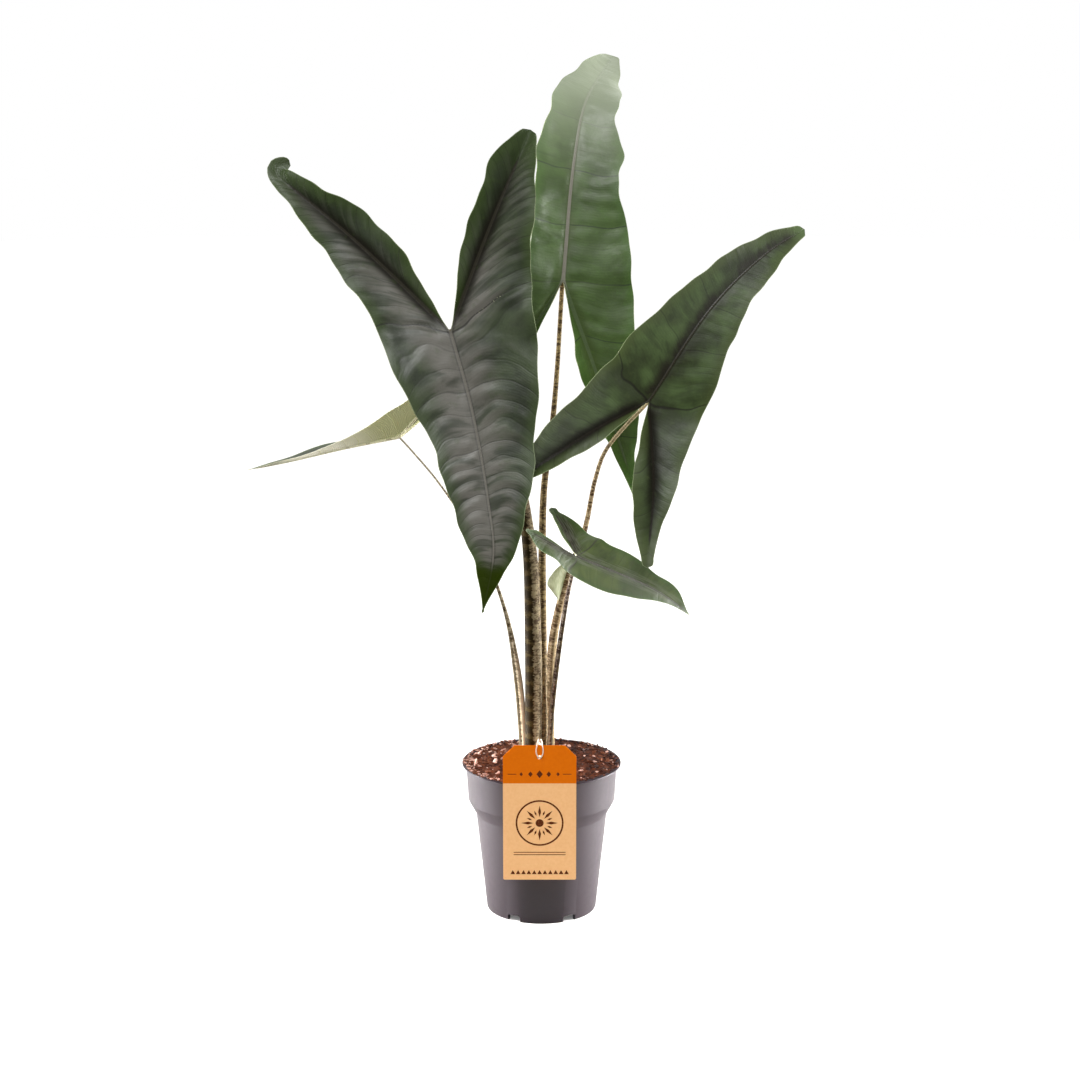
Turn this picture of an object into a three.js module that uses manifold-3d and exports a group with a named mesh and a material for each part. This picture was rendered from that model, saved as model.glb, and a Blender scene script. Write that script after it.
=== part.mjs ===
// A potted arrow-leaf aroid: five arrow-shaped leaves on mottled petioles that rise
// from one rhizome, potting soil, a plastic nursery pot and a blank card tag on a cord.
// Millimetres, +Z up. The origin is the middle of the pot's underside; -Y is the front.
import * as THREE from "three";
import { mergeVertices } from "three/addons/utils/BufferGeometryUtils.js";
import Module from "manifold-3d";

const wasm = await Module();
wasm.setup();

// Driving dimensions
const GAP = 0.3; // clearance between pieces that touch
const POT = {
  height: 162,
  rim: 85, // outer radius of the lip
  collar: 80.5, // outer radius just under the lip
  collarFoot: 78.5,
  collarDepth: 40,
  shoulder: 70.5, // outer radius of the body just under the collar
  shoulderDepth: 54,
  foot: 59,
  wall: 1.4,
  lipThickness: 1.6,
  floor: 7, // height of the floor's underside
  pad: 20, // radius of the flat pad in the middle of the underside
  footRing: 5,
  notches: 6,
  notchWidth: 11.5,
  notchHeight: 6,
  drainRadius: 3.5,
  drainCircle: 40,
  segments: 48,
};
const SOIL = { brim: 160.5, heap: 3.5, lump: 2.2, rings: 8, sectors: 36, seed: 11 };
const RHIZOME = {
  x: -4,
  y: 1,
  top: 132,
  radius: 21,
  height: 62,
  flatness: 0.85, // depth against width
  roots: 7,
  rootReach: 40,
  rootDrop: 26,
  rootRadius: 2.6,
  rootTip: 1.1,
};
const TAG = {
  x: -2,
  width: 76,
  height: 146,
  thickness: 0.8,
  bottom: 60,
  corner: 12, // size of the cut top corners
  holeRadius: 2.6,
  holeDrop: 13, // from the top edge to the middle of the hole
};
const CORD = { radius: 0.65, tagKnot: 2.4, slipKnot: 1.5, backKnot: 0.9, steps: 34, sides: 5 };
const SHEATH = {
  thickness: 0.8,
  bulge: 1.5,
  edge: [[16, -1, 330], [21, -1, 348], [24, -1, 360], [27.5, -1.5, 374], [31, -2, 384]], // along the petiole
  margin: [[14, -3, 333], [11.5, -6, 347], [5.6, -8, 358], [14, -7, 375], [24, -5, 386]],
};
const BLADE = {
  thickness: 0.8,
  ribHalfWidth: 2.2,
  ribDepth: 2.2,
  tipRibDepth: 0.4,
  calmWidth: 15, // narrower than this, waves and quilting fade out
  bladeSteps: 12, // from the blade's tip to the junction
  lobeSteps: 10, // from the junction to a lobe's tip
  outerColumns: 4,
  innerColumns: 3,
};
const PETIOLE = { steps: 24, sides: 8 };

// Each leaf. Places are in millimetres. The midrib runs from the blade's tip to the
// junction with the petiole, and each lobe's rib from the junction to the lobe's tip.
// halfWidth: rib to outer margin at even steps from tip to junction. outer, inner: from
// the lobe's rib to both of its margins at even steps. fold: degrees that the half is
// raised towards the upper face at the tip, the junction and the lobe's tip.
const LEAVES = [
  {
    name: "front",
    color: 0x4f5a45,
    wave: 3,
    waves: 2.5,
    quilt: 0.7,
    midrib: [[-59, -135, 358], [-48, -124, 416], [-53, -112, 466], [-70, -90, 558], [-91, -75, 633]],
    facing: { tip: [0, -1, 0.2], junction: [0.05, -1, 0.3] },
    lobes: [
      {
        rib: [[-187, -45, 721], [-275, -20, 797]],
        facing: [0.15, -1, 0.2],
        halfWidth: [0, 22, 37, 45, 59, 70],
        outer: [70, 50, 39, 28, 18, 0],
        inner: [0, 11, 24, 28, 23, 3],
        fold: [5, 8, 12],
      },
      {
        rib: [[-51, -55, 737], [-11, -35, 830]],
        facing: [-0.1, -1, 0.2],
        halfWidth: [0, 19, 43, 58, 74, 85],
        outer: [85, 73, 54, 41, 24, 4],
        inner: [0, 9, 21, 21, 26, 4],
        fold: [5, 8, 12],
      },
    ],
    petiole: {
      path: [[-8.9, -4.5, 130], [-8.9, -4.5, 175], [-9, -8, 300], [-12.5, -13, 397], [-27, -21, 490],
        [-52, -31, 565], [-80, -46, 622], [-91, -75, 633]],
      radii: [8.9, 8.9, 8.8, 8.2, 6.4, 4.6, 3.4, 3],
    },
  },
  {
    name: "back",
    color: 0x5f7048,
    wave: 3.5,
    waves: 3,
    quilt: 0.8,
    midrib: [[78, 160, 902], [46, 92, 853], [33, 55, 790], [22, 25, 673]],
    facing: { tip: [0.1, -1, 1.2], junction: [0.15, -1, 0.2] },
    lobes: [
      {
        rib: [[-24, 22, 596], [-58, 14, 505]],
        facing: [0, -1, 0],
        halfWidth: [2, 23, 34, 43, 43, 48],
        outer: [48, 42, 36, 27, 15, 0],
        inner: [0, 4, 8, 12, 10, 0],
        fold: [10, 30, 20],
      },
      {
        rib: [[60, 16, 570], [101, 8, 446]],
        facing: [0, -1, 0],
        halfWidth: [2, 15, 27, 32, 40, 49, 50, 52, 65, 68, 70],
        outer: [70, 60, 47, 31, 13, 0],
        inner: [0, 8, 17, 17, 9, 3],
        fold: [5, 8, 10],
      },
    ],
    petiole: {
      path: [[1.1, 8, 130], [1.1, 8, 175], [1, 10, 300], [0.8, 14, 400], [3, 18, 460], [11, 28, 519],
        [16, 36, 575], [20, 41, 640], [22, 25, 673]],
      radii: [5.3, 5.2, 4.8, 4.2, 3.6, 3, 2.4, 2.3],
    },
  },
  {
    name: "right",
    color: 0x35402c,
    wave: 2.5,
    waves: 2.5,
    quilt: 0.7,
    midrib: [[273, 40, 725], [237, 20, 706], [176, -10, 652], [109, -35, 556]],
    facing: { tip: [0, -1, 0.6], junction: [0.05, -1, 0.1] },
    lobes: [
      {
        rib: [[49, -58, 528], [-38, -88, 476]],
        facing: [0.2, -1, 0.7],
        halfWidth: [4, 20, 29, 38, 53, 58],
        outer: [58, 52, 39, 30, 18, 0],
        inner: [0, 8, 14, 14, 10, 0],
        fold: [8, 12, 30],
      },
      {
        rib: [[114, -62, 477], [107, -88, 394]],
        facing: [0, -1, 0],
        halfWidth: [0, 18, 27, 38, 49, 57],
        outer: [57, 44, 30, 18, 7, 0],
        inner: [0, 11, 19, 22, 15, 4],
        fold: [5, 5, 5],
      },
    ],
    petiole: {
      path: [[10.4, 2.5, 130], [10.4, 2.5, 175], [10.8, 2, 290], [27, 1, 362], [45, 0, 414], [56, -4, 470],
        [66, -9, 500], [86, -14, 527], [103, -19, 546], [109, -35, 556]],
      radii: [3.8, 3.8, 3.9, 4, 3.2, 2.4, 2, 1.9],
    },
  },
  {
    name: "low",
    color: 0x55684a,
    wave: 1,
    waves: 2,
    quilt: 0.4,
    midrib: [[152, -80, 342], [120, -76, 366], [36, -65, 401]],
    facing: { tip: [0.4, -0.6, 0.8], junction: [0.3, -0.6, 0.8] },
    lobes: [
      {
        rib: [[24, -34, 422], [10, -10, 441]],
        facing: [0.3, -0.6, 0.8],
        halfWidth: [0, 15, 20, 25, 28, 34],
        outer: [34, 32, 22, 15, 9, 0],
        inner: [0, 4, 7, 7, 5, 0],
        fold: [10, 15, 10],
      },
      {
        rib: [[10, -79, 418], [-16, -90, 434]],
        facing: [0.3, -0.6, 0.8],
        halfWidth: [0, 7, 21, 28, 32, 28],
        outer: [28, 29, 22, 18, 13, 0],
        inner: [0, 1, 3, 5, 7, 0],
        fold: [0, 0, 0],
      },
    ],
    petiole: {
      path: [[8.5, -5.5, 130], [8.6, -5.6, 175], [12, -7, 230], [19, -13, 293], [26, -28, 345],
        [32, -48, 380], [36, -65, 401]],
      radii: [2.8, 2.8, 2.8, 2.6, 2.2, 1.8],
    },
  },
  {
    name: "left",
    color: 0x9a9c66,
    wave: 1.2,
    waves: 2,
    quilt: 0.4,
    midrib: [[-314, 60, 468], [-270, 62, 477], [-210, 60, 492], [-151, 50, 506]],
    facing: { tip: [-0.2, 0, 1], junction: [-0.2, 0.1, 1] },
    lobes: [
      {
        rib: [[-116, 28, 548], [-84, 8, 588]],
        facing: [-0.6, 0, 0.8],
        halfWidth: [0, 9, 11, 13, 24, 32],
        outer: [32, 28, 25, 20, 12, 0],
        inner: [0, 3, 5, 8, 7, 0],
        fold: [10, 50, 30],
      },
      {
        rib: [[-112, 74, 536], [-76, 98, 566]],
        facing: [-0.5, 0.1, 0.8],
        halfWidth: [0, 9, 16, 22, 28, 32],
        outer: [32, 28, 24, 19, 12, 0],
        inner: [0, 5, 8, 9, 7, 0],
        fold: [10, 12, 15],
      },
    ],
    petiole: {
      path: [[-20.6, 0, 130], [-20.8, 0, 175], [-27, 1, 258], [-38, 5, 324], [-64, 15, 392], [-107, 31, 457],
        [-138, 44, 492], [-151, 50, 506]],
      radii: [2.9, 3, 3.2, 2.2, 1.7, 1.4, 1.3],
    },
  },
];

const V = (a) => new THREE.Vector3(...a);
const lerp = THREE.MathUtils.lerp;
const radians = THREE.MathUtils.degToRad;

// Joins and cuts
function solidOf(geometry) {
  const bare = geometry.clone();
  bare.deleteAttribute("normal");
  bare.deleteAttribute("uv");
  const merged = mergeVertices(bare, 1e-4);
  const mesh = new wasm.Mesh({
    numProp: 3,
    vertProperties: merged.attributes.position.array,
    triVerts: new Uint32Array(merged.index.array),
  });
  return new wasm.Manifold(mesh);
}

function geometryOf(solid) {
  const mesh = solid.getMesh();
  const geometry = new THREE.BufferGeometry();
  geometry.setAttribute("position", new THREE.BufferAttribute(new Float32Array(mesh.vertProperties), 3));
  geometry.setIndex(new THREE.BufferAttribute(new Uint32Array(mesh.triVerts), 1));
  return geometry;
}

// The largest body of a solid: what a cut leaves loose beside it is dropped.
function largest(solid) {
  return solid.decompose().sort((a, b) => b.volume() - a.volume())[0];
}

// A repeatable stream of numbers from 0 to 1.
function randomFrom(seed) {
  let state = seed;
  return () => {
    state = (state * 16807) % 2147483647;
    return state / 2147483647;
  };
}

// The value of a list of evenly spaced values at u, from 0 to 1, on a smooth curve.
function smooth(values, u) {
  const points = values.map((v, i) => new THREE.Vector2(i, v));
  return new THREE.SplineCurve(points).getPoint(u).y;
}

// A closed tube along a curve: round rings of the radius given at each step, and flat ends.
function tube(curve, steps, sides, radiusAt) {
  const frames = curve.computeFrenetFrames(steps, false);
  const positions = [];
  const index = [];
  for (let i = 0; i <= steps; i++) {
    const centre = curve.getPointAt(i / steps);
    for (let j = 0; j < sides; j++) {
      const angle = (2 * Math.PI * j) / sides;
      const point = centre.clone();
      point.addScaledVector(frames.normals[i], radiusAt(i / steps) * Math.cos(angle));
      point.addScaledVector(frames.binormals[i], radiusAt(i / steps) * Math.sin(angle));
      positions.push(...point.toArray());
    }
  }
  for (let i = 0; i < steps; i++) {
    for (let j = 0; j < sides; j++) {
      const a = i * sides + j;
      const b = i * sides + ((j + 1) % sides);
      index.push(a, b, a + sides, b, b + sides, a + sides);
    }
  }
  const last = steps * sides;
  for (let j = 1; j < sides - 1; j++) {
    index.push(0, j + 1, j);
    index.push(last, last + j, last + j + 1);
  }
  const geometry = new THREE.BufferGeometry();
  geometry.setAttribute("position", new THREE.Float32BufferAttribute(positions, 3));
  geometry.setIndex(index);
  return geometry;
}

// A thin closed solid round a sheet of triangles. above and below give how far its two
// faces stand off each point of the sheet, and both faces have the same triangles.
function thicken(sheet, above, below) {
  const position = sheet.attributes.position;
  const normal = sheet.attributes.normal;
  const index = [...sheet.index.array];
  const count = position.count;
  const positions = [];
  for (const offset of [above, (i) => -below(i)]) {
    for (let i = 0; i < count; i++) {
      const point = new THREE.Vector3().fromBufferAttribute(position, i);
      point.addScaledVector(new THREE.Vector3().fromBufferAttribute(normal, i), offset(i));
      positions.push(...point.toArray());
    }
  }
  const faces = [...index];
  const edges = new Map();
  for (let i = 0; i < index.length; i += 3) {
    const [a, b, c] = index.slice(i, i + 3);
    faces.push(a + count, c + count, b + count);
    for (const [from, to] of [[a, b], [b, c], [c, a]]) edges.set(`${from} ${to}`, [from, to]);
  }
  for (const [from, to] of edges.values()) {
    if (edges.has(`${to} ${from}`)) continue;
    faces.push(from, from + count, to, to, from + count, to + count);
  }
  const geometry = new THREE.BufferGeometry();
  geometry.setAttribute("position", new THREE.Float32BufferAttribute(positions, 3));
  geometry.setIndex(faces);
  return geometry;
}

// Leaves
// Points, outward directions and facings along one half's spine: blade tip, junction, lobe tip.
function spineOf(leaf, lobe, bladeSteps, lobeSteps) {
  const midrib = new THREE.CatmullRomCurve3(leaf.midrib.map(V));
  const junction = leaf.midrib.at(-1);
  const rib = new THREE.CatmullRomCurve3([junction, ...lobe.rib].map(V));
  const spine = [];
  const stand = (curve, t, start) => {
    const [point, along] = [curve.getPointAt(t), curve.getTangentAt(t)];
    spine.push({ point, along, part: start + t, count: spine.length });
  };
  for (let i = 0; i < bladeSteps; i++) stand(midrib, i / bladeSteps, 0);
  for (let i = 0; i <= lobeSteps; i++) stand(rib, i / lobeSteps, 1);
  const away = V(lobe.rib.at(-1)).sub(V(leaf.lobes.find((other) => other !== lobe).rib.at(-1)));
  for (const station of spine) {
    const u = station.part;
    const facing = u < 1
      ? V(leaf.facing.tip).normalize().lerp(V(leaf.facing.junction).normalize(), u)
      : V(leaf.facing.junction).normalize().lerp(V(lobe.facing).normalize(), u - 1);
    const turn = THREE.MathUtils.smoothstep(u, 0.72, 1.28);
    const bladeWay = midrib.getTangentAt(Math.min(u, 1));
    const lobeWay = rib.getTangentAt(Math.max(u - 1, 0));
    const way = bladeWay.lerp(lobeWay, turn).normalize();
    const across = new THREE.Vector3().crossVectors(facing, way).normalize();
    const inward = new THREE.Vector3().crossVectors(facing, station.along).normalize();
    const sign = Math.sign(across.dot(away)) || 1;
    station.across = across.multiplyScalar(sign);
    station.inward = inward.multiplyScalar(-sign);
    station.up = new THREE.Vector3().crossVectors(way, across).normalize();
    if (station.up.dot(facing) < 0) station.up.negate();
    const [tipFold, junctionFold, lobeFold] = lobe.fold;
    station.fold = radians(u < 1 ? lerp(tipFold, junctionFold, u) : lerp(junctionFold, lobeFold, u - 1));
  }
  return spine;
}

// A point of the half beside its spine: v runs from the rib, 0, to the margin, 1.
function beside(leaf, lobe, station, direction, width, v) {
  const point = station.point.clone();
  point.addScaledVector(direction, width * v * Math.cos(station.fold));
  point.addScaledVector(station.up, width * v * Math.sin(station.fold));
  const phase = 2 * leaf.lobes.indexOf(lobe);
  const wave = leaf.wave * v * v * Math.sin(2 * Math.PI * leaf.waves * station.part + phase);
  const quilt = leaf.quilt * Math.sin(Math.PI * v) * Math.cos(Math.PI * station.count);
  point.addScaledVector(station.up, (wave + quilt) * Math.min(1, width / BLADE.calmWidth));
  return point;
}

// A row of corners from the rib to a margin; only the corner on the rib has a depth of rib.
function rowOf(leaf, lobe, station, direction, width, columns) {
  const { ribHalfWidth, ribDepth, tipRibDepth } = BLADE;
  const edge = Math.min(0.4, ribHalfWidth / Math.max(width, 1));
  const stops = [0, edge];
  for (let k = 1; k < columns; k++) stops.push(lerp(edge, 1, k / (columns - 1)));
  const atTip = station.part === 0 || station.part === 2;
  const depth = atTip ? 0 : lerp(ribDepth, tipRibDepth, Math.abs(station.part - 1));
  return stops.map((v) => ({
    point: beside(leaf, lobe, station, direction, width, v),
    rib: v === 0 ? depth : 0,
  }));
}

// The triangles between rows of corners.
function facesOf(rows, turned) {
  const faces = [];
  for (let i = 0; i + 1 < rows.length; i++) {
    for (let j = 0; j + 1 < rows[i].length; j++) {
      const [a, b, c, d] = [rows[i][j], rows[i][j + 1], rows[i + 1][j + 1], rows[i + 1][j]];
      if (turned) faces.push([c, b, a], [d, c, a]);
      else faces.push([a, b, c], [a, c, d]);
    }
  }
  return faces;
}

// One sheet with shared corners, without the faces that have shrunk to a line.
function sheetFrom(faces) {
  const places = new Map();
  const positions = [];
  const ribs = [];
  const index = [];
  for (const face of faces) {
    const keys = face.map((corner) => corner.point.toArray().map((x) => x.toFixed(2)).join(" "));
    if (new Set(keys).size < 3) continue;
    face.forEach((corner, k) => {
      if (!places.has(keys[k])) {
        places.set(keys[k], ribs.length);
        positions.push(...corner.point.toArray());
        ribs.push(corner.rib);
      }
      index.push(places.get(keys[k]));
    });
  }
  const sheet = new THREE.BufferGeometry();
  sheet.setAttribute("position", new THREE.Float32BufferAttribute(positions, 3));
  sheet.setAttribute("rib", new THREE.Float32BufferAttribute(ribs, 1));
  sheet.setIndex(index);
  sheet.computeVertexNormals();
  return sheet;
}

// The blade's middle sheet: an outer strip down each half, and an inner one along each lobe.
function sheetOf(leaf) {
  const faces = [];
  leaf.lobes.forEach((lobe, side) => {
    const spine = spineOf(leaf, lobe, BLADE.bladeSteps, BLADE.lobeSteps);
    const outer = spine.map((station) => {
      const u = station.part;
      const width = Math.max(0, u < 1 ? smooth(lobe.halfWidth, u) : smooth(lobe.outer, u - 1));
      return rowOf(leaf, lobe, station, station.across, width, BLADE.outerColumns);
    });
    const inner = spine.slice(BLADE.bladeSteps).map((station) => {
      const width = Math.max(0, smooth(lobe.inner, station.part - 1));
      return rowOf(leaf, lobe, station, station.inward, width, BLADE.innerColumns);
    });
    faces.push(...facesOf(outer, side === 0), ...facesOf(inner, side === 1));
  });
  return sheetFrom(faces);
}

// The blade as one closed solid; grow thickens it on both faces, to cut clearances.
function bladeOf(leaf, grow = 0) {
  const sheet = sheetOf(leaf);
  const half = BLADE.thickness / 2 + grow;
  const rib = sheet.attributes.rib;
  return thicken(sheet, () => half, (i) => half + rib.getX(i));
}

function petioleOf(leaf, grow = 0) {
  const curve = new THREE.CatmullRomCurve3(leaf.petiole.path.map(V));
  return tube(curve, PETIOLE.steps, PETIOLE.sides, (u) => smooth(leaf.petiole.radii, u) + grow);
}

// A petiole stands on the rhizome and ends against the underside of its blade.
function fittedPetiole(leaf) {
  const stem = solidOf(petioleOf(leaf));
  const seats = solidOf(bladeOf(leaf, 1.5 * GAP)).add(solidOf(rhizome(GAP)));
  return geometryOf(largest(stem.subtract(seats)));
}

// Rhizome: a stout, slightly flattened base with roots that curve down from its flanks.
function rhizome(grow = 0) {
  const { x, y, top, radius, height, flatness, roots, rootReach, rootDrop, rootRadius, rootTip } = RHIZOME;
  const profile = [
    [0, top - height - grow],
    [0.45 * radius + grow, top - 0.94 * height - grow],
    [0.85 * radius + grow, top - 0.7 * height],
    [radius + grow, top - 0.4 * height],
    [0.96 * radius + grow, top - 0.18 * height],
    [radius + grow, top + grow],
    [0, top + grow],
  ];
  const body = turned(profile, 16);
  body.scale(1, flatness, 1);
  body.translate(x, y, 0);
  let solid = solidOf(body);
  for (let i = 0; i < roots; i++) {
    const angle = (2 * Math.PI * (i + 0.3)) / roots;
    const depth = height * (0.35 + 0.1 * ((i * 3) % 4));
    const path = [0, 0.33, 0.75, 1].map((t) => {
      const reach = 0.6 * radius + rootReach * t;
      const drop = depth + rootDrop * t * t;
      return new THREE.Vector3(x + reach * Math.cos(angle), y + reach * Math.sin(angle), top - drop);
    });
    const root = tube(new THREE.CatmullRomCurve3(path), 5, 5, (u) => lerp(rootRadius, rootTip, u) + grow);
    solid = solid.add(solidOf(root));
  }
  return geometryOf(solid);
}

// Pot
function turned(profile, segments) {
  const geometry = new THREE.LatheGeometry(profile.map(([r, z]) => new THREE.Vector2(r, z)), segments);
  geometry.rotateX(Math.PI / 2);
  return geometry;
}

// The pot's inner radius at a height.
function innerRadius(z) {
  const { height, collar, collarFoot, collarDepth, shoulder, shoulderDepth, foot, wall } = POT;
  const steps = [
    [0, foot],
    [height - shoulderDepth, shoulder],
    [height - collarDepth, collarFoot],
    [height, collar],
  ];
  const above = steps.findIndex(([level]) => z < level);
  const k = above < 0 ? steps.length - 1 : Math.max(above, 1);
  const [low, high] = [steps[k - 1], steps[k]];
  return lerp(low[1], high[1], (z - low[0]) / (high[0] - low[0])) - wall;
}

function pot() {
  const { height, rim, collar, collarFoot, collarDepth, shoulder, shoulderDepth, foot, wall } = POT;
  const { lipThickness, floor, pad, footRing } = POT;
  const outside = [
    [0, 0],
    [pad, 0],
    [pad + 3, floor],
    [foot - footRing, floor],
    [foot - footRing, 0],
    [foot - 1.5, 0],
    [foot, 1.5],
    [shoulder, height - shoulderDepth],
    [collarFoot, height - collarDepth],
    [collar, height - lipThickness - 2.5],
    [rim - 0.6, height - lipThickness],
    [rim, height - lipThickness / 2],
    [rim - 0.6, height],
  ];
  const inside = [
    [collar - wall, height],
    [innerRadius(height - collarDepth), height - collarDepth],
    [innerRadius(height - shoulderDepth), height - shoulderDepth],
    [innerRadius(floor + wall + 2), floor + wall + 2],
    [innerRadius(floor + wall) - 2, floor + wall],
    [pad + 3, floor + wall],
    [pad, wall],
    [0, wall],
  ];
  let solid = solidOf(turned([...outside, ...inside], POT.segments));
  const arch = new THREE.Shape();
  const w = POT.notchWidth / 2;
  const h = POT.notchHeight;
  arch.moveTo(-w, -1);
  arch.lineTo(w, -1);
  arch.lineTo(w - 0.6, h - 2);
  arch.quadraticCurveTo(w - 1, h, w - 3, h);
  arch.lineTo(3 - w, h);
  arch.quadraticCurveTo(1 - w, h, 0.6 - w, h - 2);
  for (let i = 0; i < POT.notches; i++) {
    const turn = (2 * Math.PI * (i + 0.5)) / POT.notches;
    const notch = new THREE.ExtrudeGeometry(arch, { depth: 14, bevelEnabled: false, curveSegments: 4 });
    notch.rotateX(Math.PI / 2);
    notch.translate(0, -(foot - footRing - 2), 0);
    notch.rotateZ(turn);
    solid = solid.subtract(solidOf(notch));
    const drain = new THREE.CylinderGeometry(POT.drainRadius, POT.drainRadius, 6, 12);
    drain.rotateX(Math.PI / 2);
    drain.translate(0, -POT.drainCircle, floor);
    drain.rotateZ(turn);
    solid = solid.subtract(solidOf(drain));
  }
  return geometryOf(solid);
}

// Soil: fills the pot, heaped and lumpy on top, with holes for the petioles and rhizome.
function soil() {
  const random = randomFrom(SOIL.seed);
  const { brim, heap, lump, rings, sectors } = SOIL;
  const edge = POT.collar - POT.wall - GAP;
  const layers = [];
  const bottom = [
    [POT.pad - 1, POT.wall + GAP],
    [POT.pad + 2, POT.floor + POT.wall + GAP],
    [innerRadius(POT.floor) - 2.6, POT.floor + POT.wall + GAP],
    [innerRadius(POT.floor + 4) - GAP - 0.1, POT.floor + POT.wall + 2.8],
    [innerRadius(POT.height - POT.shoulderDepth) - GAP - 0.1, POT.height - POT.shoulderDepth + 0.1],
    [innerRadius(POT.height - POT.collarDepth) - GAP - 0.1, POT.height - POT.collarDepth + 0.1],
    [edge, brim - 1.5],
  ];
  for (const [r, z] of bottom) layers.push({ r, z, rough: 0 });
  for (let i = 0; i < rings; i++) {
    const r = edge * (1 - (i + 0.25) / rings);
    layers.push({ r, z: brim + heap * (1 - (r / edge) ** 2), rough: 1 });
  }
  const positions = [0, 0, POT.wall + GAP];
  for (const { r, z, rough } of layers) {
    for (let j = 0; j < sectors; j++) {
      const angle = (2 * Math.PI * (j + rough * 0.6 * (random() - 0.5))) / sectors;
      const radius = r * (1 + rough * 0.02 * (random() - 0.5));
      const height = z + rough * lump * (random() - 0.5) * 2;
      positions.push(radius * Math.cos(angle), radius * Math.sin(angle), height);
    }
  }
  const top = positions.length / 3;
  positions.push(0, 0, brim + heap);
  const index = [];
  for (let j = 0; j < sectors; j++) {
    const next = (j + 1) % sectors;
    index.push(0, 1 + next, 1 + j);
    for (let k = 0; k + 1 < layers.length; k++) {
      const a = 1 + k * sectors;
      const b = a + sectors;
      index.push(a + j, a + next, b + j, a + next, b + next, b + j);
    }
    const last = 1 + (layers.length - 1) * sectors;
    index.push(last + j, last + next, top);
  }
  const geometry = new THREE.BufferGeometry();
  geometry.setAttribute("position", new THREE.Float32BufferAttribute(positions, 3));
  geometry.setIndex(index);
  let solid = solidOf(geometry).subtract(solidOf(rhizome(GAP)));
  for (const leaf of LEAVES) solid = solid.subtract(solidOf(petioleOf(leaf, GAP)));
  return geometryOf(largest(solid));
}

// Tag and its cord
const tagFace = -(POT.rim + GAP + TAG.thickness); // the tag's front, against the rim
const tagTop = TAG.bottom + TAG.height;
const holeHeight = tagTop - TAG.holeDrop;

function tag() {
  const w = TAG.width / 2;
  const outline = new THREE.Shape();
  outline.moveTo(-w + 1.5, 0);
  outline.lineTo(w - 1.5, 0);
  outline.quadraticCurveTo(w, 0, w, 1.5);
  outline.lineTo(w, TAG.height - TAG.corner);
  outline.lineTo(w - TAG.corner, TAG.height);
  outline.lineTo(TAG.corner - w, TAG.height);
  outline.lineTo(-w, TAG.height - TAG.corner);
  outline.lineTo(-w, 1.5);
  outline.quadraticCurveTo(-w, 0, -w + 1.5, 0);
  const hole = new THREE.Path();
  hole.absarc(0, TAG.height - TAG.holeDrop, TAG.holeRadius, 0, 2 * Math.PI, true);
  outline.holes.push(hole);
  const cut = { depth: TAG.thickness, bevelEnabled: false, curveSegments: 8 };
  const plate = new THREE.ExtrudeGeometry(outline, cut);
  plate.rotateX(Math.PI / 2);
  plate.translate(TAG.x, tagFace + TAG.thickness, TAG.bottom);
  return plate;
}

// The cord's two strands are knotted together behind the tag, come out of its hole, pass
// over its top edge and run back to a slip knot, from which they go round the petioles.
const SLIP = [-2.6, -13.7, 190];
const ROUND_LEFT = [[-9, -14.9, 187.5], [-16.4, -12, 184], [-21.8, -5.5, 180], [-25, 0.5, 176.5],
  [-22.6, 4.9, 173.5], [-10, 11, 170], [0.8, 14.8, 168]];
const ROUND_RIGHT = [[3, -12.2, 187], [8.7, -10.2, 184], [13, -6.8, 181], [15.6, 1, 177.5],
  [14.6, 6.2, 174], [6.6, 13.2, 171], [0.8, 14.8, 168]];

function strand(side) {
  const back = tagFace + TAG.thickness;
  return [
    [TAG.x + side * 0.4, back + CORD.tagKnot + GAP, holeHeight],
    [TAG.x + side * 0.8, back - 0.4, holeHeight],
    [TAG.x + side * 1.4, tagFace - 1.5, holeHeight + 0.6],
    [TAG.x + side * 3.2, tagFace - 2, holeHeight + 4.5],
    [TAG.x + side * 3.6, tagFace - 1.5, holeHeight + 8.5],
    [TAG.x + side * 2.9, tagFace - 1.5, tagTop],
    [TAG.x + side * 2.5, tagFace + 1, tagTop + 2],
    [TAG.x + side * 1.7, -60, tagTop - 2.5],
    [TAG.x + side * 1, -30, tagTop - 11],
    SLIP,
    ...(side < 0 ? ROUND_LEFT : ROUND_RIGHT),
  ];
}

function cord() {
  let solid = null;
  for (const side of [-1, 1]) {
    const curve = new THREE.CatmullRomCurve3(strand(side).map(V));
    const half = solidOf(tube(curve, CORD.steps, CORD.sides, () => CORD.radius));
    solid = solid ? solid.add(half) : half;
  }
  const knots = [
    [CORD.tagKnot, [TAG.x, tagFace + TAG.thickness + CORD.tagKnot + GAP, holeHeight]],
    [CORD.slipKnot, SLIP],
    [CORD.backKnot, ROUND_LEFT.at(-1)],
  ];
  for (const [radius, place] of knots) {
    const ball = new THREE.IcosahedronGeometry(radius, 1);
    ball.translate(...place);
    solid = solid.add(solidOf(ball));
  }
  return geometryOf(solid);
}

// The free tip of a sheath, on the right-hand petiole.
function sheath() {
  const rows = SHEATH.edge.map((near, i) => {
    const row = [0, 0.5, 1].map((v) => ({ point: V(near).lerp(V(SHEATH.margin[i]), v), rib: 0 }));
    row[1].point.y -= SHEATH.bulge;
    return row;
  });
  const half = SHEATH.thickness / 2;
  const flap = solidOf(thicken(sheetFrom(facesOf(rows, false)), () => half, () => half));
  const stem = LEAVES.find((leaf) => leaf.name === "right");
  return geometryOf(largest(flap.subtract(solidOf(petioleOf(stem, GAP)))));
}

function material(color, roughness) {
  return new THREE.MeshStandardMaterial({ color, roughness, metalness: 0 });
}

function named(name, geometry, look) {
  const mesh = new THREE.Mesh(geometry, look);
  mesh.name = name;
  return mesh;
}

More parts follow.
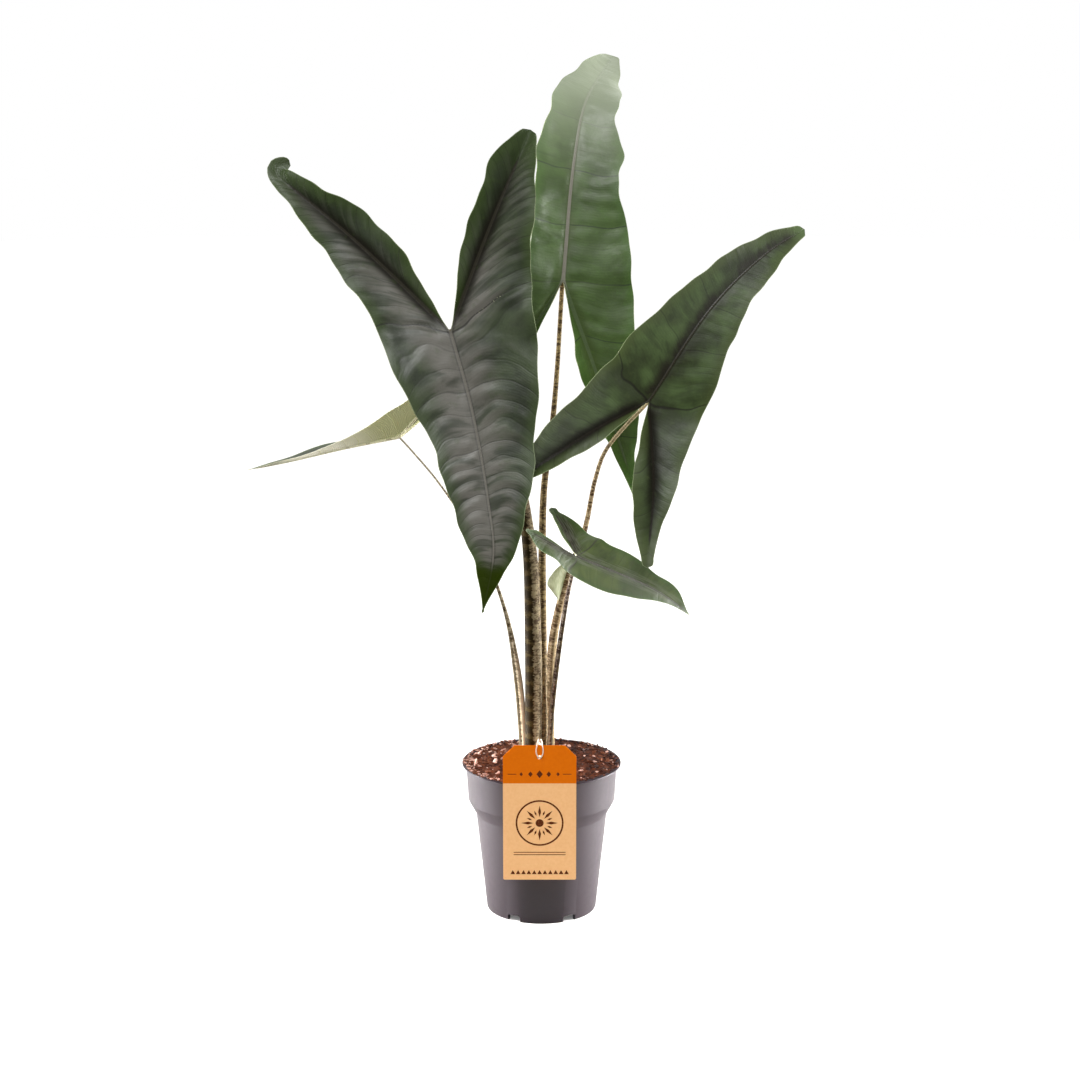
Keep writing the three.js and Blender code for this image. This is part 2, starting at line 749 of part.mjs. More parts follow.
const plant = new THREE.Group();
plant.add(named("pot", pot(), material(0x5b5053, 0.45)));
plant.add(named("soil", soil(), material(0x5c3424, 0.95)));
plant.add(named("rhizome", rhizome(), material(0x8a6a4a, 0.8)));
for (const leaf of LEAVES) {
  plant.add(named(`blade_${leaf.name}`, bladeOf(leaf), material(leaf.color, 0.55)));
  plant.add(named(`petiole_${leaf.name}`, fittedPetiole(leaf), material(0x8f8468, 0.6)));
}
plant.add(named("sheath", sheath(), material(0xa9ab7c, 0.6)));
plant.add(named("tag", tag(), material(0xdfa86c, 0.85)));
plant.add(named("tag_cord", cord(), material(0xf0e6d8, 0.8)));

export default plant;
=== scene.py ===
"""The look of a potted tigrina superba alocasia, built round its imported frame.

Five arrow-shaped leaves rise on mottled petioles from coir and bark in a moulded
nursery pot, and a card tag hangs over the rim on a twisted cord. Leaves, petioles
and pot repeat the frame's lines and widths. Lengths are given in millimetres, and
everything is made in metres.
"""

import math
import random

import bmesh
import bpy
import numpy as np
from mathutils import Matrix, Vector, noise


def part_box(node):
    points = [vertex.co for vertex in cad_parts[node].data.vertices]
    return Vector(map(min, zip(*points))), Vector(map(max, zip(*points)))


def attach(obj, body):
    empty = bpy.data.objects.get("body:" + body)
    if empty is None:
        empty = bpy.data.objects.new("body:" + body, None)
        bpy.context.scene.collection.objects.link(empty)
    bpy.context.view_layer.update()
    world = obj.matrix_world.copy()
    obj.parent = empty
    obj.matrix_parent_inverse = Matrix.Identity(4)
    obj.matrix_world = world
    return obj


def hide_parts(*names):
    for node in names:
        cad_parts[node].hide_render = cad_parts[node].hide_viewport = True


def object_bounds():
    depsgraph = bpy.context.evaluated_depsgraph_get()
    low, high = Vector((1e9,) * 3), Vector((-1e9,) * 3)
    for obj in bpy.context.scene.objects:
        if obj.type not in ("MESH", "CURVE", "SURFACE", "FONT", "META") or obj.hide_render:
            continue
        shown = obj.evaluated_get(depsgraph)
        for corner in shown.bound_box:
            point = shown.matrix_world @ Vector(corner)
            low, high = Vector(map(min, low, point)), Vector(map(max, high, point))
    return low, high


bl_info = {
    "name": "Potted alocasia",
    "version": (1, 0, 0),
    "blender": (4, 5, 0),
    "location": "View3D > Sidebar > Alocasia",
    "description": "Builds a potted tigrina superba alocasia round its packed frame",
    "category": "Object",
}

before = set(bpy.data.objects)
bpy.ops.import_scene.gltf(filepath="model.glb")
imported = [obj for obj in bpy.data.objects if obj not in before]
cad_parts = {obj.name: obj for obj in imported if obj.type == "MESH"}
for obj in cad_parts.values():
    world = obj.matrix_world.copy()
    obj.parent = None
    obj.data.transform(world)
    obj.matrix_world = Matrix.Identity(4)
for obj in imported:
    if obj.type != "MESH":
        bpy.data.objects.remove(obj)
CAD_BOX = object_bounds()
POT_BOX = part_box("pot")
TAG_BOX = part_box("tag")
MM = 0.001
BODY = "root"

# Each leaf, as in the frame, in millimetres, with "part" running from 0 at the blade's tip
# to 1 at the junction with the petiole and 2 at a lobe's tip.
# midrib: from tip to junction. Each lobe's rib goes on from there to the lobe's tip.
# facing: where the upper face looks at the tip, at the junction and at each lobe's tip.
# halfWidth: from the midrib to the margin, tip to junction; outer and inner: from the
# lobe's rib to its two margins. fold: the degrees that the half is raised at the tip,
# the junction and the lobe's tip. blunt: how round the ends of the blade and of its two
# lobes are; innerBlunt: that of a lobe's inner margin alone.
# petiole: from the rhizome to the junction. radii: along it.
# wave and waves: the margin's height, and how often it rises along the leaf. uneven: how
# far the margin strays in the blade's plane.
# veins: between side veins at the tips and at the junction. rise: how much they lean away
# from the tip on the blade and towards it on the lobes, and their droop. drift: how far
# they stray, as a share of a space. rib: half the midrib's width, tip and junction.
# quilt: how far the blade swells between side veins. lumps: slower swellings. valley: how
# deep the lobes' ribs and the first side vein lie.
# upper: the upper face's darkest and lightest green. margin: its colour, width and amount.
# The flush by the ribs: the tint that spreads from them, how far, and its amount; on the front
# leaf it is painted grey sheen, and on the right leaf painted shade. tip: its colour, and
# where it ends and how softly, as shares of the blade; the pale tips of the back and low
# leaves are painted sheen. line: the veins' colour, and the amount on main and other side
# veins. ribs: midrib, lobe ribs and the hollow beside them; where these are dark, that is
# painted shade as well as the leaf's own tint. gloss: strength of the reflection, from tip
# to lobe's tip. halves: the share of flush and gloss that each half has. combed: amount of
# the pale streaks beside the midrib.
# under: the underside near the junction and near the tip; the left leaf's near-white is
# partly painted light that shines through the blade. underVein: its veins' colour, and
# the amount of the finest ones.
LEAVES = {
    "front": {
        "wave": 3,
        "waves": 2.5,
        "quilt": 1.9,
        "uneven": 1.3,
        "veins": (8, 24),
        "rise": (0.32, 1.9, 0.45),
        "rib": (0.8, 1.7),
        "midrib": [(-59, -135, 358), (-48, -124, 416), (-53, -112, 466), (-70, -90, 558), (-91, -75, 633)],
        "facing": {"tip": (0, -1, 0.2), "junction": (0.05, -1, 0.3)},
        "lobes": [
            {
                "rib": [(-187, -45, 721), (-256, -27, 777), (-266, -21, 786), (-267, -18, 791.5),
                        (-261.5, -16, 794.5), (-253, -15, 793.5)],
                "facing": (0.15, -1, 0.2),
                "halfWidth": [0, 22, 37, 45, 59, 70],
                "outer": [70, 50, 39, 28, 16, 7],
                "inner": [0, 10, 20, 27, 27, 20, 13, 6],
                "innerBlunt": 4,
                "fold": [5, 8, 12],
            },
            {
                "rib": [(-51, -55, 737), (-11, -35, 830)],
                "facing": (-0.1, -1, 0.2),
                "halfWidth": [0, 19, 43, 58, 74, 85],
                "outer": [85, 73, 54, 41, 25, 9],
                "inner": [0, 9, 21, 21, 26, 9],
                "fold": [5, 8, 12],
            },
        ],
        "petiole": [(-8.9, -4.5, 130), (-8.9, -4.5, 175), (-9, -8, 300), (-12.5, -13, 397),
                    (-27, -21, 490), (-52, -31, 565), (-80, -46, 622), (-91, -75, 633)],
        "radii": [8.9, 8.9, 8.8, 8.2, 6.4, 4.6, 3.4, 3],
        "drift": 0.4,
        "gloss": [0, 0, 0.5, 0.6, 0.6, 0.62, 0.6, 0.42, 0.3, 0.32, 0.34, 0.3, 0.7],
        "halves": (1, 0.6),
        "lumps": 1.3,
        "valley": 1.8,
        "blunt": (1.5, 7, 11),
        "upper": ("#22291a", "#38422c"),
        "margin": ("#34431f", 16, 0.75),
        # The front leaf's grey flush is painted sheen.
        "flushSheenShade": ("#605e57", 54, 0.95),
        "tip": ("#232e05", 0.17, 0.03),
        "line": ("#20211a", 0.35, 0.2),
        "ribs": ("#6a675f", "#2c2a22", "#1a1813"),
        "under": ("#6f7c54", "#7f8c64"),
    },
    "back": {
        "wave": 3.5,
        "waves": 3,
        "quilt": 1.3,
        "uneven": 2.0,
        "veins": (17, 20),
        "rise": (0.12, 0.8, 0.1),
        "rib": (0.9, 2.5),
        "midrib": [(77, 157, 900.5), (46, 92, 853), (33, 55, 790), (22, 25, 673)],
        "facing": {"tip": (0.1, -1, 1.2), "junction": (0.15, -1, 0.2)},
        "lobes": [
            {
                "rib": [(-24, 22, 596), (-58, 14, 505)],
                "facing": (0, -1, 0),
                "halfWidth": [11, 29, 37, 43, 43, 48],
                "outer": [48, 42, 36, 27, 15, 0],
                "inner": [0, 4, 8, 12, 10, 0],
                "fold": [10, 30, 20],
            },
            {
                "rib": [(60, 16, 570), (101, 8, 446)],
                "facing": (0, -1, 0),
                "halfWidth": [7, 19, 30, 34, 40, 49, 50, 52, 65, 68, 70],
                "outer": [70, 60, 47, 31, 13, 0],
                "inner": [0, 8, 17, 17, 9, 3],
                "fold": [5, 8, 10],
            },
        ],
        "petiole": [(1.1, 8, 130), (1.1, 8, 175), (1, 10, 300), (0.8, 14, 400), (3, 18, 460),
                    (11, 28, 519), (16, 36, 575), (20, 41, 640), (22, 25, 673)],
        "radii": [5.3, 5.2, 4.8, 4.2, 3.6, 3, 2.4, 2.3],
        "drift": 0.25,
        "gloss": [0.75, 0.5, 0.3, 0.25, 0.25],
        "halves": (1, 1),
        "lumps": 1.6,
        "valley": 0.5,
        "blunt": (5, 2, 3),
        "upper": ("#394a25", "#465b2f"),
        "margin": ("#446329", 14, 0.4),
        "flushSheenShade": ("#4d573b", 14, 0.4),
        # The pale tip is painted sheen: the haze of light on the blade's upper end.
        "tip": ("#8d957f", 0.38, 0.3),
        "line": ("#2b3524", 0.8, 0.0),
        "ribs": ("#77736a", "#49563b", "#3c4a28"),
        "under": ("#7a885a", "#8a986a"),
    },
    "right": {
        "wave": 1.7,
        "waves": 2.5,
        "quilt": 0.6,
        "uneven": 1.1,
        "veins": (12, 22),
        "rise": (-0.55, 1.0, 0.1),
        "rib": (0.7, 1.3),
        "midrib": [(273, 40, 725), (237, 20, 706), (176, -10, 652), (109, -35, 556)],
        "facing": {"tip": (0, -1, 0.6), "junction": (0.05, -1, 0.1)},
        "lobes": [
            {
                "rib": [(49, -58, 528), (-38, -88, 476)],
                "facing": (0.2, -1, 0.7),
                "halfWidth": [7, 20, 29, 38, 53, 58],
                "outer": [58, 52, 39, 30, 18, 0],
                "inner": [0, 8, 14, 14, 10, 0],
                "fold": [8, 12, 30],
            },
            {
                "rib": [(114, -62, 477), (107, -88, 394)],
                "facing": (0, -1, 0),
                "halfWidth": [6, 18, 27, 38, 49, 57],
                "outer": [57, 44, 30, 18, 9, 5],
                "inner": [0, 11, 19, 22, 15, 5],
                "fold": [5, 5, 5],
            },
        ],
        "petiole": [(10.4, 2.5, 130), (10.4, 2.5, 175), (10.8, 2, 290), (27, 1, 362), (45, 0, 414),
                    (56, -4, 470), (66, -9, 500), (86, -14, 527), (103, -19, 546), (109, -35, 556)],
        "radii": [3.8, 3.8, 3.9, 4, 3.2, 2.4, 2, 1.9],
        "drift": 0.35,
        "gloss": [0.45, 0.45, 0.12, 0.8, 0.8],
        "halves": (1, 0.6),
        "lumps": 0.9,
        "valley": 1.0,
        "blunt": (7, 4, 6),
        "upper": ("#2a321d", "#435330"),
        "margin": ("#414c2a", 14, 0.75),
        # The right leaf's dark flush is painted shade by its ribs.
        "flushSheenShade": ("#1e1d13", 17, 0.75),
        "tip": ("#4b5d36", 0.05, 0.04),
        "line": ("#15140e", 0.35, 0.08),
        "ribs": ("#2b281d", "#1d1a14", "#171610"),
        "under": ("#6b7a50", "#7c8a60"),
    },
    "low": {
        "wave": 1,
        "waves": 2,
        "quilt": 0.4,
        "uneven": 0.9,
        "veins": (8, 14),
        "rise": (-0.2, 0.9, 0.1),
        "rib": (0.5, 1.1),
        "midrib": [(152, -80, 342), (120, -76, 366), (36, -65, 401)],
        "facing": {"tip": (0.4, -0.6, 0.8), "junction": (0.3, -0.6, 0.8)},
        "lobes": [
            {
                "rib": [(24, -34, 422), (10, -10, 441)],
                "facing": (0.3, -0.6, 0.8),
                "halfWidth": [0, 15, 20, 25, 28, 34],
                "outer": [34, 32, 22, 15, 9, 0],
                "inner": [0, 4, 7, 7, 5, 0],
                "fold": [10, 15, 10],
            },
            {
                "rib": [(10, -79, 418), (-16, -90, 434)],
                "facing": (0.3, -0.6, 0.8),
                "halfWidth": [0, 7, 21, 28, 32, 28],
                "outer": [28, 29, 22, 18, 13, 0],
                "inner": [0, 1, 3, 5, 7, 0],
                "fold": [0, 0, 0],
            },
        ],
        "petiole": [(8.5, -5.5, 130), (8.6, -5.6, 175), (12, -7, 230), (19, -13, 293), (26, -28, 345),
                    (32, -48, 380), (36, -65, 401)],
        "radii": [2.8, 2.8, 2.8, 2.6, 2.2, 1.8],
        "drift": 0.25,
        "gloss": [1.2, 0.55, 0.3],
        "halves": (0.5, 1),
        "lumps": 0.3,
        "combed": 0.22,
        "valley": 0.3,
        "blunt": (0.8, 5, 3),
        "upper": ("#2e391b", "#434f26"),
        "margin": ("#33471f", 7, 0.8),
        "flushSheenShade": ("#35352b", 10, 0.4),
        # The pale grey-green tip is painted sheen.
        "tip": ("#65725a", 0.06, 0.04),
        "line": ("#24281a", 0.2, 0.1),
        "ribs": ("#39352b", "#2b2920", "#2b2920"),
        "under": ("#74824f", "#86946a"),
    },
    "left": {
        "wave": 1.2,
        "waves": 2,
        "quilt": 0.45,
        "uneven": 0.6,
        "veins": (9, 17),
        "rise": (0.4, 1.2, 0.3),
        "rib": (0.5, 1.1),
        "midrib": [(-314, 60, 468), (-270, 62, 477), (-210, 60, 492), (-151, 50, 506)],
        "facing": {"tip": (-0.2, 0, 1), "junction": (-0.2, 0.1, 1)},
        "lobes": [
            {
                "rib": [(-116, 28, 548), (-84, 8, 588)],
                "facing": (-0.6, 0, 0.8),
                "halfWidth": [0, 9, 11, 13, 24, 32],
                "outer": [32, 28, 25, 20, 12, 0],
                "inner": [0, 3, 5, 8, 7, 0],
                "fold": [10, 50, 30],
            },
            {
                "rib": [(-112, 74, 536), (-76, 98, 566)],
                "facing": (-0.5, 0.1, 0.8),
                "halfWidth": [0, 9, 16, 22, 28, 32],
                "outer": [32, 28, 24, 19, 12, 0],
                "inner": [0, 5, 8, 9, 7, 0],
                "fold": [21, 14, 15],
            },
        ],
        "petiole": [(-20.6, 0, 130), (-20.8, 0, 175), (-27, 1, 258), (-38, 5, 324), (-64, 15, 392),
                    (-107, 31, 457), (-138, 44, 492), (-151, 50, 506)],
        "radii": [2.9, 3, 3, 2, 1.4, 1.1, 1],
        "drift": 0.2,
        "gloss": [0.4, 0.4, 0.4],
        "halves": (1, 1),
        "lumps": 0.4,
        "valley": 0.2,
        "blunt": (0.6, 2, 2),
        "upper": ("#3b3f36", "#4c5046"),
        "margin": ("#4b5c38", 6, 0.4),
        "flushSheenShade": ("#464532", 8, 0.5),
        "tip": ("#59654a", 0.1, 0.06),
        "line": ("#33372a", 0.3, 0.1),
        "ribs": ("#6f6c52", "#6f6c52", "#4a4a35"),
        # The near-white underside towards the tip is partly painted light shining through the blade.
        "under": ("#a3a47a", "#e9e6d8"),
        "underVein": ("#c8c88c", 0.45),
    },
}


# Numbers, lines and colours
def linear(hex_colour):
    """The linear RGBA of an sRGB hex colour."""
    parts = [int(hex_colour[i : i + 2], 16) / 255 for i in (1, 3, 5)]
    return (*[p / 12.92 if p <= 0.04045 else ((p + 0.055) / 1.055) ** 2.4 for p in parts], 1)


def unit(v):
    """Vectors, in rows, at length one."""
    return v / np.maximum(np.linalg.norm(v, axis=-1, keepdims=True), 1e-12)


def mix(a, b, t):
    """The value a share t of the way from a to b."""
    return a + (b - a) * t


def ease(x, low, high):
    """0 up to low, 1 from high on, and a soft step between."""
    t = np.clip((x - low) / (high - low), 0, 1)
    return t * t * (3 - 2 * t)


def curve(b, c, start, end, t):
    """The way from b to c that leaves and arrives with the slopes start and end."""
    return b + start * t + (3 * (c - b) - 2 * start - end) * t**2 + (2 * (b - c) + start + end) * t**3


def smooth(values, u):
    """The value of a list of evenly spaced values at u, from 0 to 1, on a smooth curve."""
    v = np.array(values, float)
    place = np.clip(u, 0, 1) * (len(v) - 1)
    i = np.minimum(place.astype(int), len(v) - 2)
    t = place - i
    a, b, c, d = v[np.maximum(i - 1, 0)], v[i], v[i + 1], v[np.minimum(i + 2, len(v) - 1)]
    return curve(b, c, (c - a) / 2, (d - b) / 2, t)


def ripple(places, size, seed):
    """Smooth noise between -1 and 1 at places in mm, with humps of about the size given."""
    return np.array([noise.noise(Vector(place)) for place in (places / size + seed).tolist()])


class Route:
    """A smooth line through points, in millimetres, read by the share of its length."""

    def __init__(self, points, steps=60):
        """The points' spacing sets the slopes, so the line makes no loop where they crowd."""
        p = np.array(points, float)
        p = np.vstack([2 * p[0] - p[1], p, 2 * p[-1] - p[-2]])
        t = np.linspace(0, 1, steps, endpoint=False)[:, None]
        rows = []
        for a, b, c, d in zip(p, p[1:], p[2:], p[3:]):
            ab, bc, cd = (np.sum((y - x) ** 2) ** 0.25 for x, y in ((a, b), (b, c), (c, d)))
            start = ((b - a) / ab - (c - a) / (ab + bc) + (c - b) / bc) * bc
            end = ((c - b) / bc - (d - b) / (bc + cd) + (d - c) / cd) * bc
            rows.append(curve(b, c, start, end, t))
        self.points = np.vstack([*rows, p[-2:-1]])
        steps = np.linalg.norm(np.diff(self.points, axis=0), axis=1)
        self.reach = np.concatenate([[0], np.cumsum(steps)])
        self.length = self.reach[-1]

    def at(self, share):
        """Places on the line."""
        far = np.clip(share, 0, 1) * self.length
        return np.stack([np.interp(far, self.reach, self.points[:, k]) for k in range(3)], axis=-1)

    def way(self, share):
        """Directions along the line."""
        share = np.clip(share, 0, 1)
        return unit(self.at(share + 0.002) - self.at(share - 0.002))


# Pieces and their materials
def add_node(tree, kind, settings=None, inputs=None):
    """A shader node with its settings, and its inputs as constants or as sockets that feed it."""
    made = tree.nodes.new("ShaderNode" + kind)
    for key, value in (settings or {}).items():
        setattr(made, key, value)
    for key, value in (inputs or {}).items():
        if isinstance(value, bpy.types.NodeSocket):
            tree.links.new(value, made.inputs[key])
        else:
            made.inputs[key].default_value = value
    return made


def new_material(name, **shader):
    """A material with one Principled shader, its constants set on the shader's own sockets."""
    material = bpy.data.materials.new(name)
    material.use_nodes = True
    tree = material.node_tree
    principled = tree.nodes["Principled BSDF"]
    for key, value in shader.items():
        principled.inputs[key.replace("_", " ")].default_value = value
    return material, tree, principled


def set_surface(tree, principled, colour, height=None, strength=0.0, depth=0.0):
    """Gives the shader its colour, and the height as a bump that is depth mm deep."""
    tree.links.new(colour, principled.inputs["Base Color"])
    if height is not None:
        bump = add_node(
            tree, "Bump", inputs={"Strength": strength, "Distance": depth * MM, "Height": height}
        )
        tree.links.new(bump.outputs[0], principled.inputs["Normal"])


def layered(tree, colour, layers):
    """A colour with layers over it, each fading in from one value of a socket to another."""
    for value, low, high, start, end, tint in layers:
        mask = add_node(
            tree, "MapRange", {"interpolation_type": "SMOOTHSTEP"},
            {"Value": value, "From Min": low, "From Max": high, "To Min": start, "To Max": end},
        )
        over = add_node(tree, "Mix", {"data_type": "RGBA"}, {0: mask.outputs[0], 6: colour, 7: tint})
        colour = over.outputs[2]
    return colour


def mesh_piece(name, points, faces, materials):
    """A mesh object from points in millimetres."""
    mesh = bpy.data.meshes.new(name)
    mesh.from_pydata((np.asarray(points) * MM).tolist(), [], faces)
    for material in materials:
        mesh.materials.append(material)
    piece = bpy.data.objects.new(name, mesh)
    bpy.context.scene.collection.objects.link(piece)
    return piece


def closed_sheet(upper, lower, polygons):
    """Points and faces of a thin shell: two like sheets, joined by a rim round their open edges."""
    count = len(upper)
    edges = {(p[k], p[(k + 1) % len(p)]) for p in polygons for k in range(len(p))}
    rim = sorted((a, a + count, b + count, b) for a, b in edges if (b, a) not in edges)
    under = [tuple(v + count for v in p[::-1]) for p in polygons]
    return np.vstack([upper, lower]), [*polygons, *under, *rim]


def select_only(piece):
    """Selects one object and makes it the active one."""
    bpy.ops.object.select_all(action="DESELECT")
    piece.select_set(True)
    bpy.context.view_layer.objects.active = piece


def set_place(piece):
    """Puts a finished piece's place, turn and size into its mesh."""
    select_only(piece)
    bpy.ops.object.transform_apply(location=True, rotation=True, scale=True)


def face_outwards(piece):
    """Recalculates the normals of a closed piece."""
    select_only(piece)
    bpy.ops.object.mode_set(mode="EDIT")
    bpy.ops.mesh.select_all(action="SELECT")
    bpy.ops.mesh.normals_make_consistent(inside=False)
    bpy.ops.object.mode_set(mode="OBJECT")


def cut_out(piece, cutter):
    """Cuts one solid out of a piece, and removes the solid."""
    cut = piece.modifiers.new("cut", "BOOLEAN")
    cut.operation = "DIFFERENCE"
    cut.solver = "EXACT"
    cut.object = cutter
    select_only(piece)
    bpy.ops.object.modifier_apply(modifier="cut")
    bpy.data.objects.remove(cutter)


def finish_piece(piece, slot, *nodes, angle=None):
    """Smooths a piece, mounts it on the frame's body and hides the frame's parts that it stands for."""
    if angle is not None:
        select_only(piece)
        bpy.ops.object.shade_smooth_by_angle(angle=math.radians(angle))
    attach(piece, BODY)
    if nodes:
        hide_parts(*nodes)


def add_attribute(mesh, name, values):
    """Gives each point of a mesh a number or a vector that its material reads."""
    values = np.asarray(values, np.float32)
    kind, field = ("FLOAT_VECTOR", "vector") if values.ndim == 2 else ("FLOAT", "value")
    mesh.attributes.new(name, kind, "POINT").data.foreach_set(field, values.ravel())


# Tubes: petioles and the cord
def frames_along(route, shares):
    """Places, and two directions across the line: the first keeps to the front, -Y."""
    places, ways = route.at(shares), route.way(shares)
    front = np.array([0.0, -1.0, 0.0])
    fronts, sides = [], []
    for way in ways:
        front = unit(front - way * np.dot(front, way))
        fronts.append(front)
        sides.append(np.cross(way, front))
    return places, np.array(fronts), np.array(sides)


def tube(name, route, shares, radius, sides, materials, section=None):
    """A closed round tube. Its attribute "stem" holds the place on an unbent stem, in mm."""
    places, fronts, rights = frames_along(route, shares)
    turn = 2 * np.pi * np.arange(sides) / sides
    swell = np.ones((len(shares), sides)) if section is None else section(shares, turn)
    reach = radius[:, None] * swell
    ring = (
        places[:, None]
        + fronts[:, None] * (reach * np.cos(turn))[..., None]
        + rights[:, None] * (reach * np.sin(turn))[..., None]
    )
    lengths = np.broadcast_to((shares * route.length)[:, None], reach.shape)
    unbent = np.stack([reach * np.sin(turn), -reach * np.cos(turn), lengths], axis=-1)
    points = ring.reshape(-1, 3)
    faces = []
    for i in range(len(shares) - 1):
        for j in range(sides):
            a, b = i * sides + j, i * sides + (j + 1) % sides
            faces.append((a, b, b + sides, a + sides))
    last = (len(shares) - 1) * sides
    faces.append(tuple(range(sides))[::-1])
    faces.append(tuple(range(last, last + sides)))
    piece = mesh_piece(name, points, faces, materials)
    add_attribute(piece.data, "stem", unbent.reshape(-1, 3))
    turned_in = Vector(ring[0, 0] - places[0]).dot(piece.data.polygons[0].normal) < 0
    if turned_in:
        piece.data.flip_normals()
    return piece


# Blades
# Millimetres. The thin edge and the calm zones by ribs and margins are given by how far they
# reach, nearStops are the rows beside a rib, and corners closer than weld become one.
# Not millimetres: the columns out to the margins; the parts of the leaf between which the
# midrib's way turns into the lobe's; and how often, how strongly and how far from the
# junction the corner there is smoothed.
BLADE = {
    "thickness": 0.8,
    "edge": 0.45,
    "edgeReach": 6,
    "ribDepth": 2.2,
    "tipRibDepth": 0.4,
    "ridge": 0.7,
    "gutter": 0.3,
    "valleyReach": 6,
    "calmWidth": 15,
    "calmByRib": (1.5, 10),
    "calmByMargin": 13,
    "insideBox": 0.05,
    "step": 2.4,
    "nearStops": (0, 0.35, 0.7, 1, 1.35, 1.8, 2.6),
    "outerColumns": 24,
    "innerColumns": 12,
    "weld": 0.02,
    "turn": (0.72, 1.28),
    "cornerRounds": 45,
    "cornerPull": 0.8,
    "cornerReach": 0.22,
}
# Size in mm and seed of the noise behind each unevenness
RIPPLES = {"veins": (46, 3.7), "fineVeins": (17, 8.1), "swelling": (30, 15.3), "lumps": (26, 27.9)}
# The width of the streaks' pattern in mm, and how far apart the strips of a blade lie in it
STREAK = (55, 5.7)


def half_frames(leaf, side):
    """Stations along one half's spine, blade tip to junction to lobe tip, and their directions."""
    lobe, other = leaf["lobes"][side], leaf["lobes"][1 - side]
    midrib = Route(leaf["midrib"])
    rib = Route([leaf["midrib"][-1], *lobe["rib"]])
    blade_steps = math.ceil(midrib.length / BLADE["step"])
    lobe_steps = math.ceil(rib.length / BLADE["step"])
    on_blade, on_rib = np.arange(blade_steps) / blade_steps, np.arange(lobe_steps + 1) / lobe_steps
    part = np.concatenate([on_blade, 1 + on_rib])
    on_lobe = (part >= 1)[:, None]
    place = np.where(on_lobe, rib.at(part - 1), midrib.at(part))
    along = np.where(on_lobe, rib.way(part - 1), midrib.way(part))
    tip, junction, end = (
        unit(np.array(v, float)) for v in (leaf["facing"]["tip"], leaf["facing"]["junction"], lobe["facing"])
    )
    share = (part % 1 + (part == 2))[:, None]
    facing = np.where(on_lobe, mix(junction, end, share), mix(tip, junction, share))
    turn = ease(part, *BLADE["turn"])[:, None]
    way = unit(mix(midrib.way(np.minimum(part, 1)), rib.way(np.maximum(part - 1, 0)), turn))
    across = unit(np.cross(facing, way))
    inward = unit(np.cross(facing, along))
    away = np.array(lobe["rib"][-1], float) - np.array(other["rib"][-1], float)
    sign = -1.0 if np.sum(across @ away) < 0 else 1.0
    across, inward = across * sign, -inward * sign
    up = unit(np.cross(way, across))
    up = up * np.where(np.sum(up * facing, axis=1) < 0, -1.0, 1.0)[:, None]
    folds = lobe["fold"]
    fold = np.where(part < 1, mix(folds[0], folds[1], part), mix(folds[1], folds[2], part - 1))
    past = np.where(part < 1, (part - 1) * midrib.length, (part - 1) * rib.length)
    ahead = np.where(part < 1, part * midrib.length, (2 - part) * rib.length)
    return {
        "part": part, "place": place, "across": across, "inward": inward, "up": up,
        "fold": np.radians(fold), "past": past, "ahead": ahead, "first": blade_steps,
        "lengths": (midrib.length, rib.length),
    }


def vein_phase(leaf, past, lengths):
    """Counts side veins from the junction: close together at the tips, wider apart there."""
    close, wide = leaf["veins"]
    length = np.where(past < 0, lengths[0], lengths[1])
    left = np.clip(1 - np.abs(past) / length, -0.5, 1)
    growth = wide - close
    count = length / growth * (math.log(wide / close) - np.log((close + growth * left) / close))
    return np.sign(past) * count


def rounded(width, ahead, blunt, uneven, seed):
    """Widths in mm with blunt ends and an uneven margin; ahead is the way to the nearest tip."""
    ends = blunt * (1 - ease(ahead, blunt, 5 * blunt))
    waves = (np.sin(ahead / 10.5 + seed) + 0.4 * np.sin(ahead / 4.7 + 2 * seed)) * ease(width, 5, 20)
    waves = waves * ease(ahead, 5, 45)
    cap = np.sqrt(1 - (1 - np.clip(ahead / blunt, 0, 1)) ** 2)
    return np.maximum(np.maximum(width, 0) + uneven * waves, ends) * cap


def strip(leaf, side, spine, directions, width, columns, inner):
    """One strip's points, vein counts, and ways from the rib and to the margin."""
    near = np.array(BLADE["nearStops"])
    squeeze = np.minimum(1, 0.5 * width / near[-1])[:, None]
    close = near[None] * squeeze
    shares = np.arange(1, columns + 1) / columns
    reach = np.hstack([close, close[:, -1:] + (width[:, None] - close[:, -1:]) * shares])
    v = reach / np.maximum(width, 1e-6)[:, None]
    part, fold, up = spine["part"], spine["fold"][:, None, None], spine["up"][:, None]
    wave = leaf["wave"] * v**2 * np.sin(2 * np.pi * leaf["waves"] * part + 2 * side)[:, None]
    lift = wave * np.minimum(1, width / BLADE["calmWidth"])[:, None]
    point = (
        spine["place"][:, None]
        + directions[:, None] * reach[..., None] * np.cos(fold)
        + up * (reach[..., None] * np.sin(fold) + lift[..., None])
    )
    turning = ease(part, 0.8, 1.3)[:, None]
    rise, drop = mix(leaf["rise"][0], leaf["rise"][1], turning), mix(leaf["rise"][2], 0.1, turning)
    # The outer halves turn the corner at the junction without a crease.
    near_junction = np.exp(-(((part - 1) / BLADE["cornerReach"]) ** 2))[:, None]
    pull = BLADE["cornerPull"] * ease(v, 0, 0.3) * near_junction
    for _ in range(0 if inner else BLADE["cornerRounds"]):
        between = (point[:-2] + point[2:]) / 2
        point[1:-1] += pull[1:-1, :, None] * (between - point[1:-1])
    bend = reach * rise * (1 - 0.3 * v) - width[:, None] * drop * v**3
    phase = vein_phase(leaf, spine["past"][:, None] - bend, spine["lengths"])
    margin = width[:, None] - reach
    return point, phase, reach, margin


